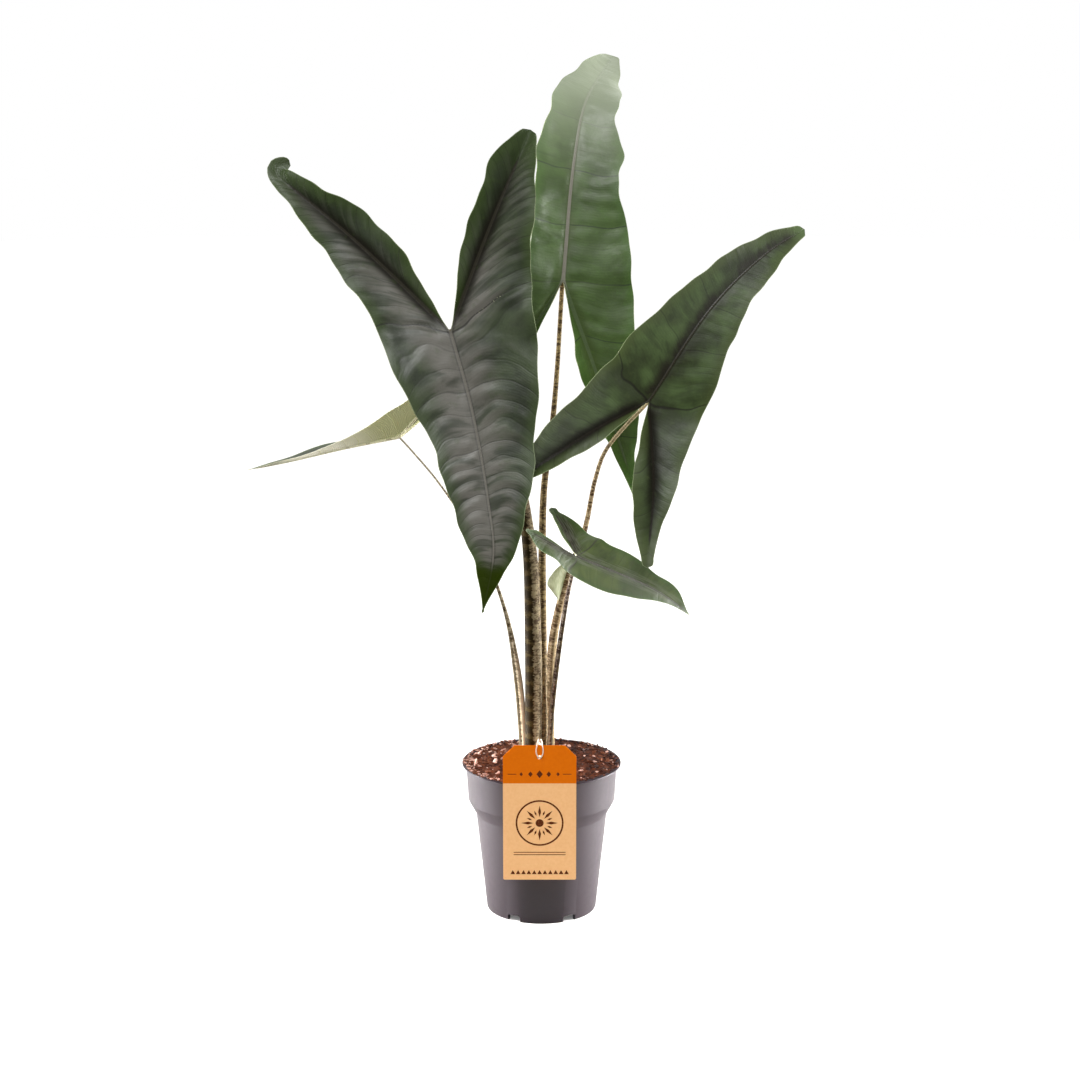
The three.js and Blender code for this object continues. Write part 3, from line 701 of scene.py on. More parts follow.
def blade_sheet(leaf):
    """The blade's middle sheet as points, faces and the values that its look is made from."""
    points, faces, values = [], [], []
    count = 0
    for side in (0, 1):
        spine = half_frames(leaf, side)
        lobe = leaf["lobes"][side]
        part = spine["part"]
        width = np.where(part < 1, smooth(lobe["halfWidth"], part), smooth(lobe["outer"], part - 1))
        blunt = np.where(part < 1, leaf["blunt"][0], leaf["blunt"][1 + side])
        width = rounded(width, spine["ahead"], blunt, leaf["uneven"], side)
        strips = [(slice(None), spine["across"], width, BLADE["outerColumns"], False)]
        first = spine["first"]
        inner_width = smooth(lobe["inner"], part[first:] - 1)
        inner_blunt = lobe.get("innerBlunt", leaf["blunt"][1 + side])
        inner_width = rounded(inner_width, spine["ahead"][first:], inner_blunt, leaf["uneven"], side + 4)
        inward = spine["inward"][first:]
        strips.append((slice(first, None), inward, inner_width, BLADE["innerColumns"], True))
        for rows, directions, widths, columns, inner in strips:
            used = {k: (v[rows] if isinstance(v, np.ndarray) else v) for k, v in spine.items()}
            point, phase, reach, margin = strip(leaf, side, used, directions, widths, columns, inner)
            tall, wide = point.shape[:2]
            ends = np.broadcast_to(used["part"][:, None], reach.shape)
            points.append(point.reshape(-1, 3))
            # Strips 0 and 1 are the first half's outer and inner one, 2 and 3 the second half's.
            number = np.full(reach.shape, 2.0 * side + inner)
            values.append(np.stack([phase, reach, margin, ends, number], axis=-1).reshape(-1, 5))
            turned = (side == 0) != inner
            for i in range(tall - 1):
                for j in range(wide - 1):
                    a = count + i * wide + j
                    quad = (a, a + 1, a + wide + 1, a + wide)
                    faces.append(quad[::-1] if turned else quad)
            count += tall * wide
    return np.vstack(points), faces, np.vstack(values)


def merged_sheet(points, faces, values):
    """The sheet as one mesh: its strips share their corners, and no face has shrunk to a line."""
    mesh = bpy.data.meshes.new("sheet")
    mesh.from_pydata((points * MM).tolist(), [], faces)
    add_attribute(mesh, "map", values[:, :3])
    add_attribute(mesh, "part", values[:, 3])
    add_attribute(mesh, "strip", values[:, 4])
    work = bmesh.new()
    work.from_mesh(mesh)
    bmesh.ops.remove_doubles(work, verts=work.verts, dist=BLADE["weld"] * MM)
    bmesh.ops.dissolve_degenerate(work, edges=work.edges, dist=BLADE["weld"] / 2 * MM)
    work.to_mesh(mesh)
    work.free()
    count = len(mesh.vertices)
    place, normal = np.zeros(count * 3), np.zeros(count * 3)
    mesh.vertices.foreach_get("co", place)
    mesh.vertices.foreach_get("normal", normal)
    shape, part, number = (np.zeros(count * n, np.float32) for n in (3, 1, 1))
    mesh.attributes["map"].data.foreach_get("vector", shape)
    mesh.attributes["part"].data.foreach_get("value", part)
    mesh.attributes["strip"].data.foreach_get("value", number)
    polygons = [tuple(p.vertices) for p in mesh.polygons]
    bpy.data.meshes.remove(mesh)
    return place.reshape(-1, 3) / MM, normal.reshape(-1, 3), shape.reshape(-1, 3), part, number, polygons


def rib_half(leaf, part):
    """Half the width of the midrib or of a lobe's rib, in mm."""
    return mix(leaf["rib"][1], leaf["rib"][0], np.abs(part - 1))


def drifted(leaf, place, phase):
    """The count of side veins at each place, once they have strayed from their courses."""
    stray = ripple(place, *RIPPLES["veins"]) + 0.4 * ripple(place, *RIPPLES["fineVeins"])
    return phase + leaf["drift"] * stray


def blade_relief(leaf, place, phase, reach, margin, part):
    """How far the upper face and the underside stand off the middle sheet, in mm."""
    off_junction = np.abs(part - 1)
    on_lobe = ease(part, 1.0, 1.1)
    across = reach / rib_half(leaf, part)
    close, wide = leaf["veins"]
    # The blade swells between its side veins, unevenly, and by groups of three.
    strength = np.clip(0.7 + 1.6 * ripple(place, *RIPPLES["swelling"]), 0.05, 1.7)
    swell = np.abs(np.sin(np.pi * phase))
    groups = np.abs(np.sin(np.pi * phase / 3)) - 0.6
    pillow = (0.3 * swell + 0.7 * swell**2 - 0.45) * strength + 0.45 * groups
    flat_tip = mix(0.25, 1.0, ease(part, 0.8 * leaf["tip"][1], 1.3 * leaf["tip"][1]))
    calm = ease(reach, *BLADE["calmByRib"]) * ease(margin, 0, BLADE["calmByMargin"])
    calm = calm * flat_tip * mix(1.0, close / wide, off_junction)
    middle = (leaf["quilt"] * pillow + leaf["lumps"] * ripple(place, *RIPPLES["lumps"])) * calm
    # The lobes' ribs lie in valleys, and so does the first side vein.
    middle -= leaf["valley"] * np.exp(-((reach / BLADE["valleyReach"]) ** 2)) * on_lobe
    middle -= leaf["valley"] * np.exp(-((phase / 0.15) ** 2)) * calm * (1 - ease(reach, 20, 60))
    half = mix(BLADE["edge"], BLADE["thickness"], ease(margin, 0, BLADE["edgeReach"])) / 2
    ridge = BLADE["ridge"] * np.clip(1 - across**2, 0, 1) ** 2 * (1.2 - off_junction) * (1 - 0.6 * on_lobe)
    gutter = -BLADE["gutter"] * np.exp(-(((across - 1.6) / 0.5) ** 2)) * (1.1 - off_junction)
    depth = mix(BLADE["ribDepth"], BLADE["tipRibDepth"], off_junction)
    keel = depth * np.sqrt(np.clip(1 - (across / 1.5) ** 2, 0, 1)) * ease(margin, 0, 3)
    return middle + half + ridge + gutter, middle - half - keel


def blade_tint(leaf, reach, part, number):
    """How strong the flush by the ribs (painted sheen and shade), the hollow's painted shade and the gloss
    are.
    """
    inner = number % 2
    at_junction = ease(part, 0.95, 1.2) - ease(part, 1.25, 1.5)
    half_share = mix(np.where(number < 2, *leaf["halves"]), 1, at_junction)
    flushSheenShade = leaf["flushSheenShade"][2] * (1 - ease(reach, 0, leaf["flushSheenShade"][1])) * (1 - 0.75 * inner)
    flushSheenShade = flushSheenShade * (1 - 0.45 * ease(part, 1.0, 1.6)) * half_share
    # Beside a lobe's rib the blade lies in a hollow, painted in shade and made less glossy.
    hollow_shade = ease(part, 1.0, 1.1) * np.exp(-((reach / 8) ** 2)) * (1 - ease(part, 1.5, 2))
    gloss = smooth(leaf["gloss"], part / 2) * (1 - 0.85 * hollow_shade) * half_share
    gloss = gloss * (1 - 0.6 * inner * (1 - ease(part, 1.8, 1.95)))
    return flushSheenShade, hollow_shade, gloss


def blade(name, leaf, materials):
    """One blade: a thin closed sheet, quilted between its side veins, with its ribs below."""
    place, normal, shape, part, number, polygons = merged_sheet(*blade_sheet(leaf))
    toward = unit(np.array(leaf["facing"]["junction"], float))
    if np.mean(normal @ toward) < 0:
        normal = -normal
        polygons = [p[::-1] for p in polygons]
    phase, reach, margin = shape.T
    streak = np.stack([phase, reach / STREAK[0], STREAK[1] * number], axis=-1)
    phase = drifted(leaf, place, phase)
    low, high = (np.array(corner) / MM for corner in CAD_BOX)
    low, high = low + BLADE["insideBox"], high - BLADE["insideBox"]
    sheets = [
        np.clip(place + normal * stand[:, None], low, high)
        for stand in blade_relief(leaf, place, phase, reach, margin, part)
    ]
    points, faces = closed_sheet(*sheets, polygons)
    piece = mesh_piece(name, points, faces, materials)
    flushSheenShade, hollow_shade, gloss = blade_tint(leaf, reach, part, number)
    looks = {
        "map": np.stack([phase, reach, margin], axis=-1),
        "rib": reach / rib_half(leaf, part) + 4 * ease(part, 1.8, 1.95),
        "part": part,
        "streak": streak,
        "flushSheenShade": flushSheenShade,
        "hollow_shade": hollow_shade,
        "gloss": gloss,
    }
    for key, values in looks.items():
        add_attribute(piece.data, key, np.concatenate([values, values]))
    lower = [0] * len(polygons) + [1] * (len(faces) - len(polygons))
    piece.data.polygons.foreach_set("material_index", lower)
    return piece


def leaf_veins(tree):
    """Sockets that a leaf's look is drawn from, in millimetres and in counts of side veins."""
    shape = add_node(tree, "Attribute", {"attribute_name": "map"})
    parts = add_node(tree, "SeparateXYZ", inputs={0: shape.outputs["Vector"]})
    rib = add_node(tree, "Attribute", {"attribute_name": "rib"})
    part = add_node(tree, "Attribute", {"attribute_name": "part"})
    coords = add_node(tree, "TexCoord")
    side = add_node(tree, "Math", {"operation": "PINGPONG"}, {0: parts.outputs[0], 1: 0.5})
    main = add_node(tree, "Math", {"operation": "PINGPONG"}, {0: parts.outputs[0], 1: 1.5})
    # The first side vein is the strongest, and fades towards the margin; the dark colour along it is painted
    # shade in its groove.
    first = add_node(tree, "Math", {"operation": "ABSOLUTE"}, {0: parts.outputs[0]})
    first = add_node(
        tree, "Math", {"operation": "MULTIPLY_ADD"}, {0: parts.outputs[1], 1: 0.0011, 2: first.outputs[0]}
    )
    fine = add_node(tree, "Math", {"operation": "MULTIPLY"}, {0: parts.outputs[0], 1: 7.0})
    fine = add_node(tree, "Math", {"operation": "PINGPONG"}, {0: fine.outputs[0], 1: 0.5})
    flushSheenShade = add_node(tree, "Attribute", {"attribute_name": "flushSheenShade"})
    hollow_shade = add_node(tree, "Attribute", {"attribute_name": "hollow_shade"})
    # From 0 at the junction to 1 at the tips.
    tipward = add_node(tree, "Math", {"operation": "SUBTRACT"}, {0: part.outputs["Fac"], 1: 1.0})
    tipward = add_node(tree, "Math", {"operation": "ABSOLUTE"}, {0: tipward.outputs[0]})
    return {
        "object": coords.outputs["Object"],
        "reach": parts.outputs[1],
        "margin": parts.outputs[2],
        "rib": rib.outputs["Fac"],
        "flushSheenShade": flushSheenShade.outputs["Fac"],
        "hollow_shade": hollow_shade.outputs["Fac"],
        "part": part.outputs["Fac"],
        "tipward": tipward.outputs[0],
        "side": side.outputs[0],
        "main": main.outputs[0],
        "first": first.outputs[0],
        "fine": fine.outputs[0],
    }


def upper_material(name, leaf):
    """Living leaf, upper face: a waxy cuticle over dark green, which reflects softly."""
    material, tree, principled = new_material(f"living leaf, upper face, {name}", IOR=1.45)
    at = leaf_veins(tree)
    deep, lit = (linear(c) for c in leaf["upper"])
    green, flushSheenShade, tip = (linear(leaf[key][0]) for key in ("margin", "flushSheenShade", "tip"))
    midrib, lobe_rib, valley = (linear(c) for c in leaf["ribs"])
    line, main_line, side_line = linear(leaf["line"][0]), *leaf["line"][1:]
    zone, fade = leaf["tip"][1:]
    cloud, grain = (
        add_node(tree, "TexNoise", inputs={"Vector": at["object"], "Scale": 1 / (size * MM), "Detail": 4.0})
        for size in (34, 9)
    )
    # Streaks that run out along the side veins, about half as wide as the space between two.
    # They paint sheen and shade across the quilting, and add to its bump.
    streak = add_node(tree, "Attribute", {"attribute_name": "streak"})
    streak = add_node(
        tree, "TexNoise",
        inputs={"Vector": streak.outputs["Vector"], "Scale": 1.5, "Detail": 2.5, "Distortion": 0.5},
    )
    streaked_sheen_shade = add_node(tree, "Math", {"operation": "ADD"}, {0: streak.outputs["Fac"], 1: at["flushSheenShade"]})
    ribs = layered(tree, midrib, [(at["part"], 0.97, 1.06, 0.0, 1.0, lobe_rib)])
    layers = [
        # The ground: clouded green, flushed by the ribs and streaked. The flush is painted sheen on the
        # front leaf and painted shade on the right one, the streaks paint sheen and shade across the
        # quilting, and the darker lobes and the hollow by their ribs are painted shade
        (cloud.outputs["Fac"], 0.35, 0.65, 0.0, 1.0, lit),
        (streaked_sheen_shade.outputs[0], 0.5, 1.3, 0.0, 1.0, flushSheenShade),
        (streak.outputs["Fac"], 0.36, 0.54, 0.6, 0.0, deep),
        (at["part"], 1.1, 1.6, 0.0, 0.4, deep),
        (at["hollow_shade"], 0.0, 1.0, 0.0, 0.95, valley),
        # Greener margins, lobe tips and flecks
        (at["margin"], 0.0, leaf["margin"][1], leaf["margin"][2], 0.0, green),
        (at["part"], 1.75, 1.95, 0.0, 0.7, green),
        (grain.outputs["Fac"], 0.55, 0.75, 0.0, 0.3, green),
        # Veins, from main to finest, and the ribs. The dark line at the first side vein and the dark
        # band beside the ribs are painted shade; the lobe ribs' dark colour is partly painted shade
        (at["main"], 0.01, 0.05, main_line, 0.0, line),
        (at["side"], 0.0, 0.09, side_line, 0.0, line),
        (at["fine"], 0.0, 0.3, 0.07, 0.0, line),
        (at["first"], 0.03, 0.09, 0.65, 0.0, valley),
        (at["rib"], 1.0, 2.4, 0.5, 0.0, valley),
        (at["rib"], 0.75, 1.1, 0.9, 0.0, ribs),
        # The blade's tip, whose pale colour on the back and low leaves is painted sheen, and the pale
        # hem of the margin
        (at["part"], zone - fade, zone + fade, 0.95, 0.0, tip),
        (at["margin"], 0.3, 0.9, 0.5, 0.0, linear("#8b9870")),
    ]
    if "combed" in leaf:
        # Narrow pale streaks run lengthwise beside the midrib.
        lie = add_node(tree, "CombineXYZ", inputs={0: at["part"], 1: at["reach"]})
        drawn = add_node(tree, "Mapping", inputs={"Vector": lie.outputs[0], "Scale": (6.0, 0.9, 1.0)})
        comb = add_node(tree, "TexNoise", inputs={"Vector": drawn.outputs[0], "Scale": 1.0, "Detail": 2.0})
        near = add_node(
            tree, "MapRange", {"interpolation_type": "SMOOTHSTEP"},
            {"Value": at["reach"], "From Min": 5.0, "From Max": 18.0, "To Min": 1.0, "To Max": 0.0},
        )
        comb = add_node(
            tree, "Math", {"operation": "MULTIPLY"}, {0: comb.outputs["Fac"], 1: near.outputs[0]}
        )
        layers.append((comb.outputs[0], 0.35, 0.6, 0.0, leaf["combed"], linear("#75766a")))
    gloss = add_node(tree, "Attribute", {"attribute_name": "gloss"})
    tree.links.new(gloss.outputs["Fac"], principled.inputs["Specular IOR Level"])
    rough = add_node(
        tree, "MapRange", inputs={"Value": grain.outputs["Fac"], "To Min": 0.34, "To Max": 0.52}
    )
    tree.links.new(rough.outputs[0], principled.inputs["Roughness"])
    groove = add_node(
        tree, "MapRange", {"interpolation_type": "SMOOTHSTEP"},
        {"Value": at["side"], "From Min": 0.0, "From Max": 0.1, "To Min": -1.5 * side_line, "To Max": 0.0},
    )
    scratch = add_node(
        tree, "MapRange",
        inputs={"Value": at["fine"], "From Min": 0.0, "From Max": 0.3, "To Min": -0.07, "To Max": 0.0},
    )
    relief = add_node(tree, "Math", {"operation": "ADD"}, {0: groove.outputs[0], 1: scratch.outputs[0]})
    for pattern, amount in ((streak, 2.2), (grain, 0.7)):
        relief = add_node(
            tree, "Math", {"operation": "MULTIPLY_ADD"},
            {0: pattern.outputs["Fac"], 1: amount, 2: relief.outputs[0]},
        )
    set_surface(tree, principled, layered(tree, deep, layers), relief.outputs[0], 0.5, 0.8)
    return material


def under_material(name, leaf):
    """Living leaf, underside: paler and duller than the upper face, with raised pale ribs."""
    material, tree, principled = new_material(f"living leaf, underside, {name}", Roughness=0.55, IOR=1.42)
    at = leaf_veins(tree)
    near, far = (linear(c) for c in leaf["under"])
    vein_colour, finest = leaf.get("underVein", ("#d0ccaa", 0.15))
    line = linear(vein_colour)
    cloud = add_node(
        tree, "TexNoise", inputs={"Vector": at["object"], "Scale": 1 / (26 * MM), "Detail": 4.0}
    )
    speck = add_node(
        tree, "TexNoise", inputs={"Vector": at["object"], "Scale": 1 / (4 * MM), "Detail": 3.0}
    )
    specks = (speck.outputs["Fac"], 0.54, 0.62, 0.0, 0.6, linear("#6b5138"))
    rib = layered(tree, linear("#d0ccaa"), [specks])
    # On the left leaf, the near-white towards the tip is partly painted light that shines through the blade.
    colour = layered(tree, near, [
        (at["part"], 0.5, 0.95, 1.0, 0.0, far),
        (at["tipward"], 0.66, 0.86, 0.0, 0.8, linear(leaf["upper"][1])),
        (cloud.outputs["Fac"], 0.4, 0.7, 0.0, 0.3, near),
        (at["main"], 0.02, 0.08, 0.3, 0.0, line),
        (at["side"], 0.0, 0.12, 0.15, 0.0, line),
        (at["fine"], 0.0, 0.35, finest, 0.0, line),
        (at["rib"], 1.1, 1.6, 0.85, 0.0, rib),
    ])
    raised = add_node(
        tree, "MapRange", {"interpolation_type": "SMOOTHSTEP"},
        {"Value": at["side"], "From Min": 0.0, "From Max": 0.09, "To Min": 1.0, "To Max": 0.0},
    )
    threads = add_node(
        tree, "MapRange",
        inputs={"Value": at["fine"], "From Min": 0.0, "From Max": 0.3, "To Min": 0.3, "To Max": 0.0},
    )
    relief = add_node(tree, "Math", {"operation": "ADD"}, {0: raised.outputs[0], 1: threads.outputs[0]})
    set_surface(tree, principled, colour, relief.outputs[0], 0.7, 0.5)
    return material


# Petioles
# colours: pale ground, blots and dark bars. size: mm between blots. drawn: their height as
# a share of their length round the stalk. dark: the side that is painted in shade, -1 for
# left and 1 for right, and how dark that painted shade is. inner: the side that faces the
# plant's middle, in degrees from the front to the right. sheath: its colour and amount.
# wing: how far it stands out, as a share of the radius, and the share of the stalk where
# that begins, below 0 for right at the foot.
# foot and neck: the colour and amount on the stalk's lowest and topmost part.
PETIOLES = {
    "front": {
        "colours": ("#7d7158", "#5b4f3e", "#3a2f23"), "size": 1.6, "drawn": 0.5,
        "dark": (-1, 1), "inner": 150, "sheath": ("#625843", 0.15), "wing": (0.03, -0.2),
        "foot": ("#6b6046", 0.1), "neck": ("#7d7158", 0),
    },
    "back": {
        "colours": ("#7d6c4c", "#55452f", "#32261a"), "size": 1.7, "drawn": 0.4,
        "dark": (0, 0), "inner": 180, "sheath": ("#6f6248", 0.2), "wing": (0.04, -0.2),
        "foot": ("#6f6349", 0.25), "neck": ("#806b49", 0),
    },
    "right": {
        "colours": ("#a08e70", "#6d563c", "#3f2e20"), "size": 1.9, "drawn": 0.35,
        "dark": (0, 0), "inner": 62, "sheath": ("#6f6146", 0.65), "wing": (0.6, 0.14),
        "foot": ("#7d6f54", 0.4), "neck": ("#b8aa8a", 0.5),
    },
    "low": {
        "colours": ("#8f8273", "#61524a", "#332824"), "size": 1.8, "drawn": 0.4,
        "dark": (1, 0.9), "inner": -70, "sheath": ("#8d826a", 0.4), "wing": (0.1, -0.2),
        "foot": ("#6f6452", 0.3), "neck": ("#8f8273", 0),
    },
    "left": {
        "colours": ("#b5a88e", "#81725c", "#574a3c"), "size": 1.9, "drawn": 0.4,
        "dark": (-1, 0.7), "inner": 88, "sheath": ("#b5a68e", 0.75), "wing": (1.1, -0.2),
        "foot": ("#a4967c", 0.5), "neck": ("#8f8879", 0.7),
    },
}
# Step along a stalk in mm; the share of it where the sheath's edges meet; and the rise of
# these edges, their width and the sink between them, as shares of the radius
STALK = {"sides": 40, "step": 2.5, "sheathTop": 0.48, "rise": 0.035, "width": 0.07, "sink": 0.04}


def petiole_material(name):
    """Living leaf stalk: a smooth, firm skin, barred and marbled in brown over cream."""
    look = PETIOLES[name]
    ground, blot, dark = (linear(c) for c in look["colours"])
    material, tree, principled = new_material(
        f"living stalk, barred, {name}", Roughness=0.65, Specular_IOR_Level=0.04
    )
    stem = add_node(tree, "Attribute", {"attribute_name": "stem"})
    coat = add_node(tree, "Attribute", {"attribute_name": "coat"})
    coat = add_node(tree, "SeparateXYZ", inputs={0: coat.outputs["Vector"]})
    height = add_node(tree, "SeparateXYZ", inputs={0: stem.outputs["Vector"]})
    # Blots and bars run round the stalk, so their pattern is drawn out sideways.
    around = look["drawn"]
    drawn = add_node(
        tree, "Mapping", inputs={"Vector": stem.outputs["Vector"], "Scale": (around, around, 1.0)}
    )
    blots = add_node(
        tree, "TexNoise",
        inputs={"Vector": drawn.outputs[0], "Scale": 1 / look["size"], "Detail": 3.0, "Roughness": 0.6},
    )
    broad = add_node(
        tree, "TexNoise", inputs={"Vector": drawn.outputs[0], "Scale": 0.3 / look["size"], "Detail": 2.0}
    )
    both = add_node(
        tree, "Math", {"operation": "MULTIPLY_ADD"},
        {0: broad.outputs["Fac"], 1: 0.5, 2: blots.outputs["Fac"]},
    )
    layers = [
        (both.outputs[0], 0.66, 0.74, 0.0, 0.8, blot),
        (both.outputs[0], 0.77, 0.85, 0.0, 0.9, dark),
        (coat.outputs[2], 0.2, 0.42, look["foot"][1], 0.0, linear(look["foot"][0])),
        (coat.outputs[2], 0.78, 0.9, 0.0, look["neck"][1], linear(look["neck"][0])),
        (coat.outputs[1], 0.3, 0.7, 0.0, look["sheath"][1], linear(look["sheath"][0])),
    ]
    side, painted_shade = look["dark"]
    if painted_shade:
        # The dark side is painted shade; its edge is ragged, and it fades towards the blade.
        outward = add_node(tree, "Math", {"operation": "MULTIPLY"}, {0: coat.outputs[0], 1: float(side)})
        outward = add_node(
            tree, "Math", {"operation": "MULTIPLY_ADD"},
            {0: both.outputs[0], 1: 0.9, 2: outward.outputs[0]},
        )
        shaded = add_node(
            tree, "MapRange", {"interpolation_type": "SMOOTHSTEP"},
            {"Value": outward.outputs[0], "From Min": 0.48, "From Max": 0.76},
        )
        upward = add_node(
            tree, "MapRange", {"interpolation_type": "SMOOTHSTEP"},
            {"Value": coat.outputs[2], "From Min": 0.65, "From Max": 0.85, "To Min": 1.0, "To Max": 0.0},
        )
        shaded = add_node(
            tree, "Math", {"operation": "MULTIPLY"}, {0: shaded.outputs[0], 1: upward.outputs[0]}
        )
        # Lighter bands cross it, 15 mm apart, with wandering edges: the bars' pale ground, seen in the
        # painted shade.
        course = height.outputs[2]
        for pattern, reach in ((broad, 9.0), (blots, 15.0)):
            wander = add_node(
                tree, "Math", {"operation": "MULTIPLY_ADD"},
                {0: pattern.outputs["Fac"], 1: reach, 2: course},
            )
            course = wander.outputs[0]
        bars = add_node(tree, "Math", {"operation": "PINGPONG"}, {0: course, 1: 7.5})
        rung = add_node(
            tree, "MapRange", {"interpolation_type": "SMOOTHSTEP"},
            {"Value": bars.outputs[0], "From Min": 0.5, "From Max": 4.5, "To Min": 1.0, "To Max": 0.0},
        )
        rung = add_node(tree, "Math", {"operation": "MULTIPLY"}, {0: rung.outputs[0], 1: shaded.outputs[0]})
        # The painted shade on the dark side, and the bars' pale ground seen in it
        layers.append((shaded.outputs[0], 0.0, 1.0, 0.0, painted_shade, linear("#1e1505")))
        layers.append((rung.outputs[0], 0.1, 1.0, 0.0, 0.5, linear("#4e4227")))
    relief = add_node(tree, "TexNoise", inputs={"Vector": drawn.outputs[0], "Scale": 1.5, "Detail": 2.0})
    set_surface(tree, principled, layered(tree, ground, layers), relief.outputs["Fac"], 0.25, 0.4)
    return material


def sheath_edge(shares, turn, inner):
    """How squarely each point round a stalk faces the plant's middle, and the sheath's edge so."""
    return np.cos(turn - inner)[None], mix(0.1, 1.02, shares / STALK["sheathTop"])[:, None]


def petiole(name, leaf):
    """A leaf stalk: it tapers to the junction and ends buried in the rib's underside."""
    radii = leaf["radii"]
    junction = np.array(leaf["midrib"][-1], float)
    under = unit(np.array(leaf["facing"]["junction"], float))
    path = [np.array(p, float) for p in leaf["petiole"][:-1]]
    path.append(junction - under * (radii[-1] + 0.2))
    route = Route(path)
    shares = np.linspace(0, 1, math.ceil(route.length / STALK["step"]) + 1)
    radius = smooth(radii, shares)
    inner = math.radians(PETIOLES[name]["inner"])
    wing, wing_foot = PETIOLES[name]["wing"]

    def sheathed(shares, turn):
        """The sheath's two edges, which run together half-way up, stand out a little."""
        toward, edge = sheath_edge(shares, turn, inner)
        low = (1 - ease(shares, 0.25, 0.5))[:, None] * ease(toward, 0, 0.8)
        low = low * ease(shares, wing_foot, wing_foot + 0.15)[:, None]
        rim = STALK["rise"] * np.exp(-(((toward - edge) / STALK["width"]) ** 2))
        rim = rim - STALK["sink"] * ease(toward, edge, edge + 0.2)
        return 1 + rim + wing * low

    skin = [petiole_material(name)]
    piece = tube(f"stalk_{name}", route, shares, radius, STALK["sides"], skin, sheathed)
    # What the skin's colour follows: how far right a point is, the sheath, and how far up it is.
    turn = 2 * np.pi * np.arange(STALK["sides"]) / STALK["sides"]
    toward, edge = sheath_edge(shares, turn, inner)
    pale = ease(toward, edge - 0.12, edge + 0.02) * ease(shares, -0.1, 0.02)[:, None]
    coat = np.broadcast_arrays(np.sin(turn), pale, shares[:, None])
    add_attribute(piece.data, "coat", np.stack(coat, axis=-1).reshape(-1, 3))
    return piece


# The sheath's free flap, from its line along the right stalk to its own margin
FLAP_EDGE = [(18.5, -1, 339), (22, -1, 351), (24.5, -1, 362), (27.5, -1.5, 374), (30.5, -2, 382)]
FLAP_MARGIN = [(17, -3, 341), (12, -6, 349), (6, -8, 359), (13, -7, 372), (23, -5, 381)]
# Half the flap's thickness, how far it bows forward and its margin is frilled, in mm
FLAP = {"rows": 40, "columns": 14, "half": 0.2, "bow": 1.5, "frill": 0.7, "frills": 26}


def flap_material():
    """Fresh leaf sheath, membranous: thin, pale green and finely ribbed, it lets light through."""
    material, tree, principled = new_material("leaf sheath, membranous", Roughness=0.5)
    coords = add_node(tree, "TexCoord")
    drawn = add_node(
        tree, "Mapping", inputs={"Vector": coords.outputs["Object"], "Scale": (1.0, 1.0, 0.12)}
    )
    ribbing = add_node(
        tree, "TexNoise", inputs={"Vector": drawn.outputs[0], "Scale": 1 / (0.8 * MM), "Detail": 2.0}
    )
    ribs = (ribbing.outputs["Fac"], 0.4, 0.65, 0.0, 1.0, linear("#d0d2bb"))
    colour = layered(tree, linear("#b4b897"), [ribs])
    set_surface(tree, principled, colour, ribbing.outputs["Fac"], 0.4, 0.3)
    through = add_node(tree, "BsdfTranslucent", inputs={"Color": linear("#c6cc96")})
    both = add_node(tree, "MixShader", inputs={0: 0.3, 1: principled.outputs[0], 2: through.outputs[0]})
    tree.links.new(both.outputs[0], tree.nodes["Material Output"].inputs["Surface"])
    return material


def sheath_flap():
    """A thin curved membrane, closed all round, with a slightly frilled margin."""
    near, far = Route(FLAP_EDGE), Route(FLAP_MARGIN)
    rows, columns = FLAP["rows"], FLAP["columns"]
    grid = np.meshgrid(np.linspace(0, 1, rows), np.linspace(0, 1, columns), indexing="ij")
    s, t = (g.ravel() for g in grid)
    sheet = near.at(s) * (1 - t)[:, None] + far.at(s) * t[:, None]
    sheet[:, 1] -= FLAP["bow"] * np.sin(np.pi * t)
    sheet[:, 1] += FLAP["frill"] * t**3 * np.sin(FLAP["frills"] * s)
    corners = [i * columns + j for i in range(rows - 1) for j in range(columns - 1)]
    quads = [(a, a + columns, a + columns + 1, a + 1) for a in corners]
    points, faces = closed_sheet(sheet - [0, FLAP["half"], 0], sheet + [0, FLAP["half"], 0], quads)
    piece = mesh_piece("sheath_flap", points, faces, [flap_material()])
    face_outwards(piece)
    return piece


# Pot
# Radii, depths below the lip and heights above the foot, in mm
POT = {
    "wall": 1.4,
    "collar": 80.5,
    "collarFoot": 78.5,
    "collarDepth": 40,
    "shoulder": 70.5,
    "shoulderDepth": 54,
    "foot": 59,
    "lip": 1.6,
    "floor": 7,
    "pad": 20,
    "footRing": 5,
    "notches": 6,
    "notchWidth": 15,
    "notchHeight": 7,
    "notchDepth": 14,
    "notchRound": 2.2,
    "drainRadius": 3.5,
    "drainCircle": 40,
}


def turned(name, profile, segments):
    """A closed turned solid, from rings (radius, height) in mm that go out, up, over and in."""
    bpy.ops.object.select_all(action="DESELECT")
    radius, height = profile[0]
    bpy.ops.mesh.primitive_circle_add(
        vertices=segments, radius=radius * MM, fill_type="NGON", location=(0, 0, height * MM)
    )
    piece = bpy.context.object
    piece.name = piece.data.name = name
    bpy.ops.object.transform_apply(location=True)
    bpy.ops.object.mode_set(mode="EDIT")
    for ring, level in profile[1:]:
        bpy.ops.mesh.extrude_region_move(TRANSFORM_OT_translate={"value": (0, 0, (level - height) * MM)})
        grow = ring / radius
        bpy.ops.transform.resize(value=(grow, grow, 1), center_override=(0, 0, level * MM))
        radius, height = ring, level
    bpy.ops.object.mode_set(mode="OBJECT")
    face_outwards(piece)
    return piece


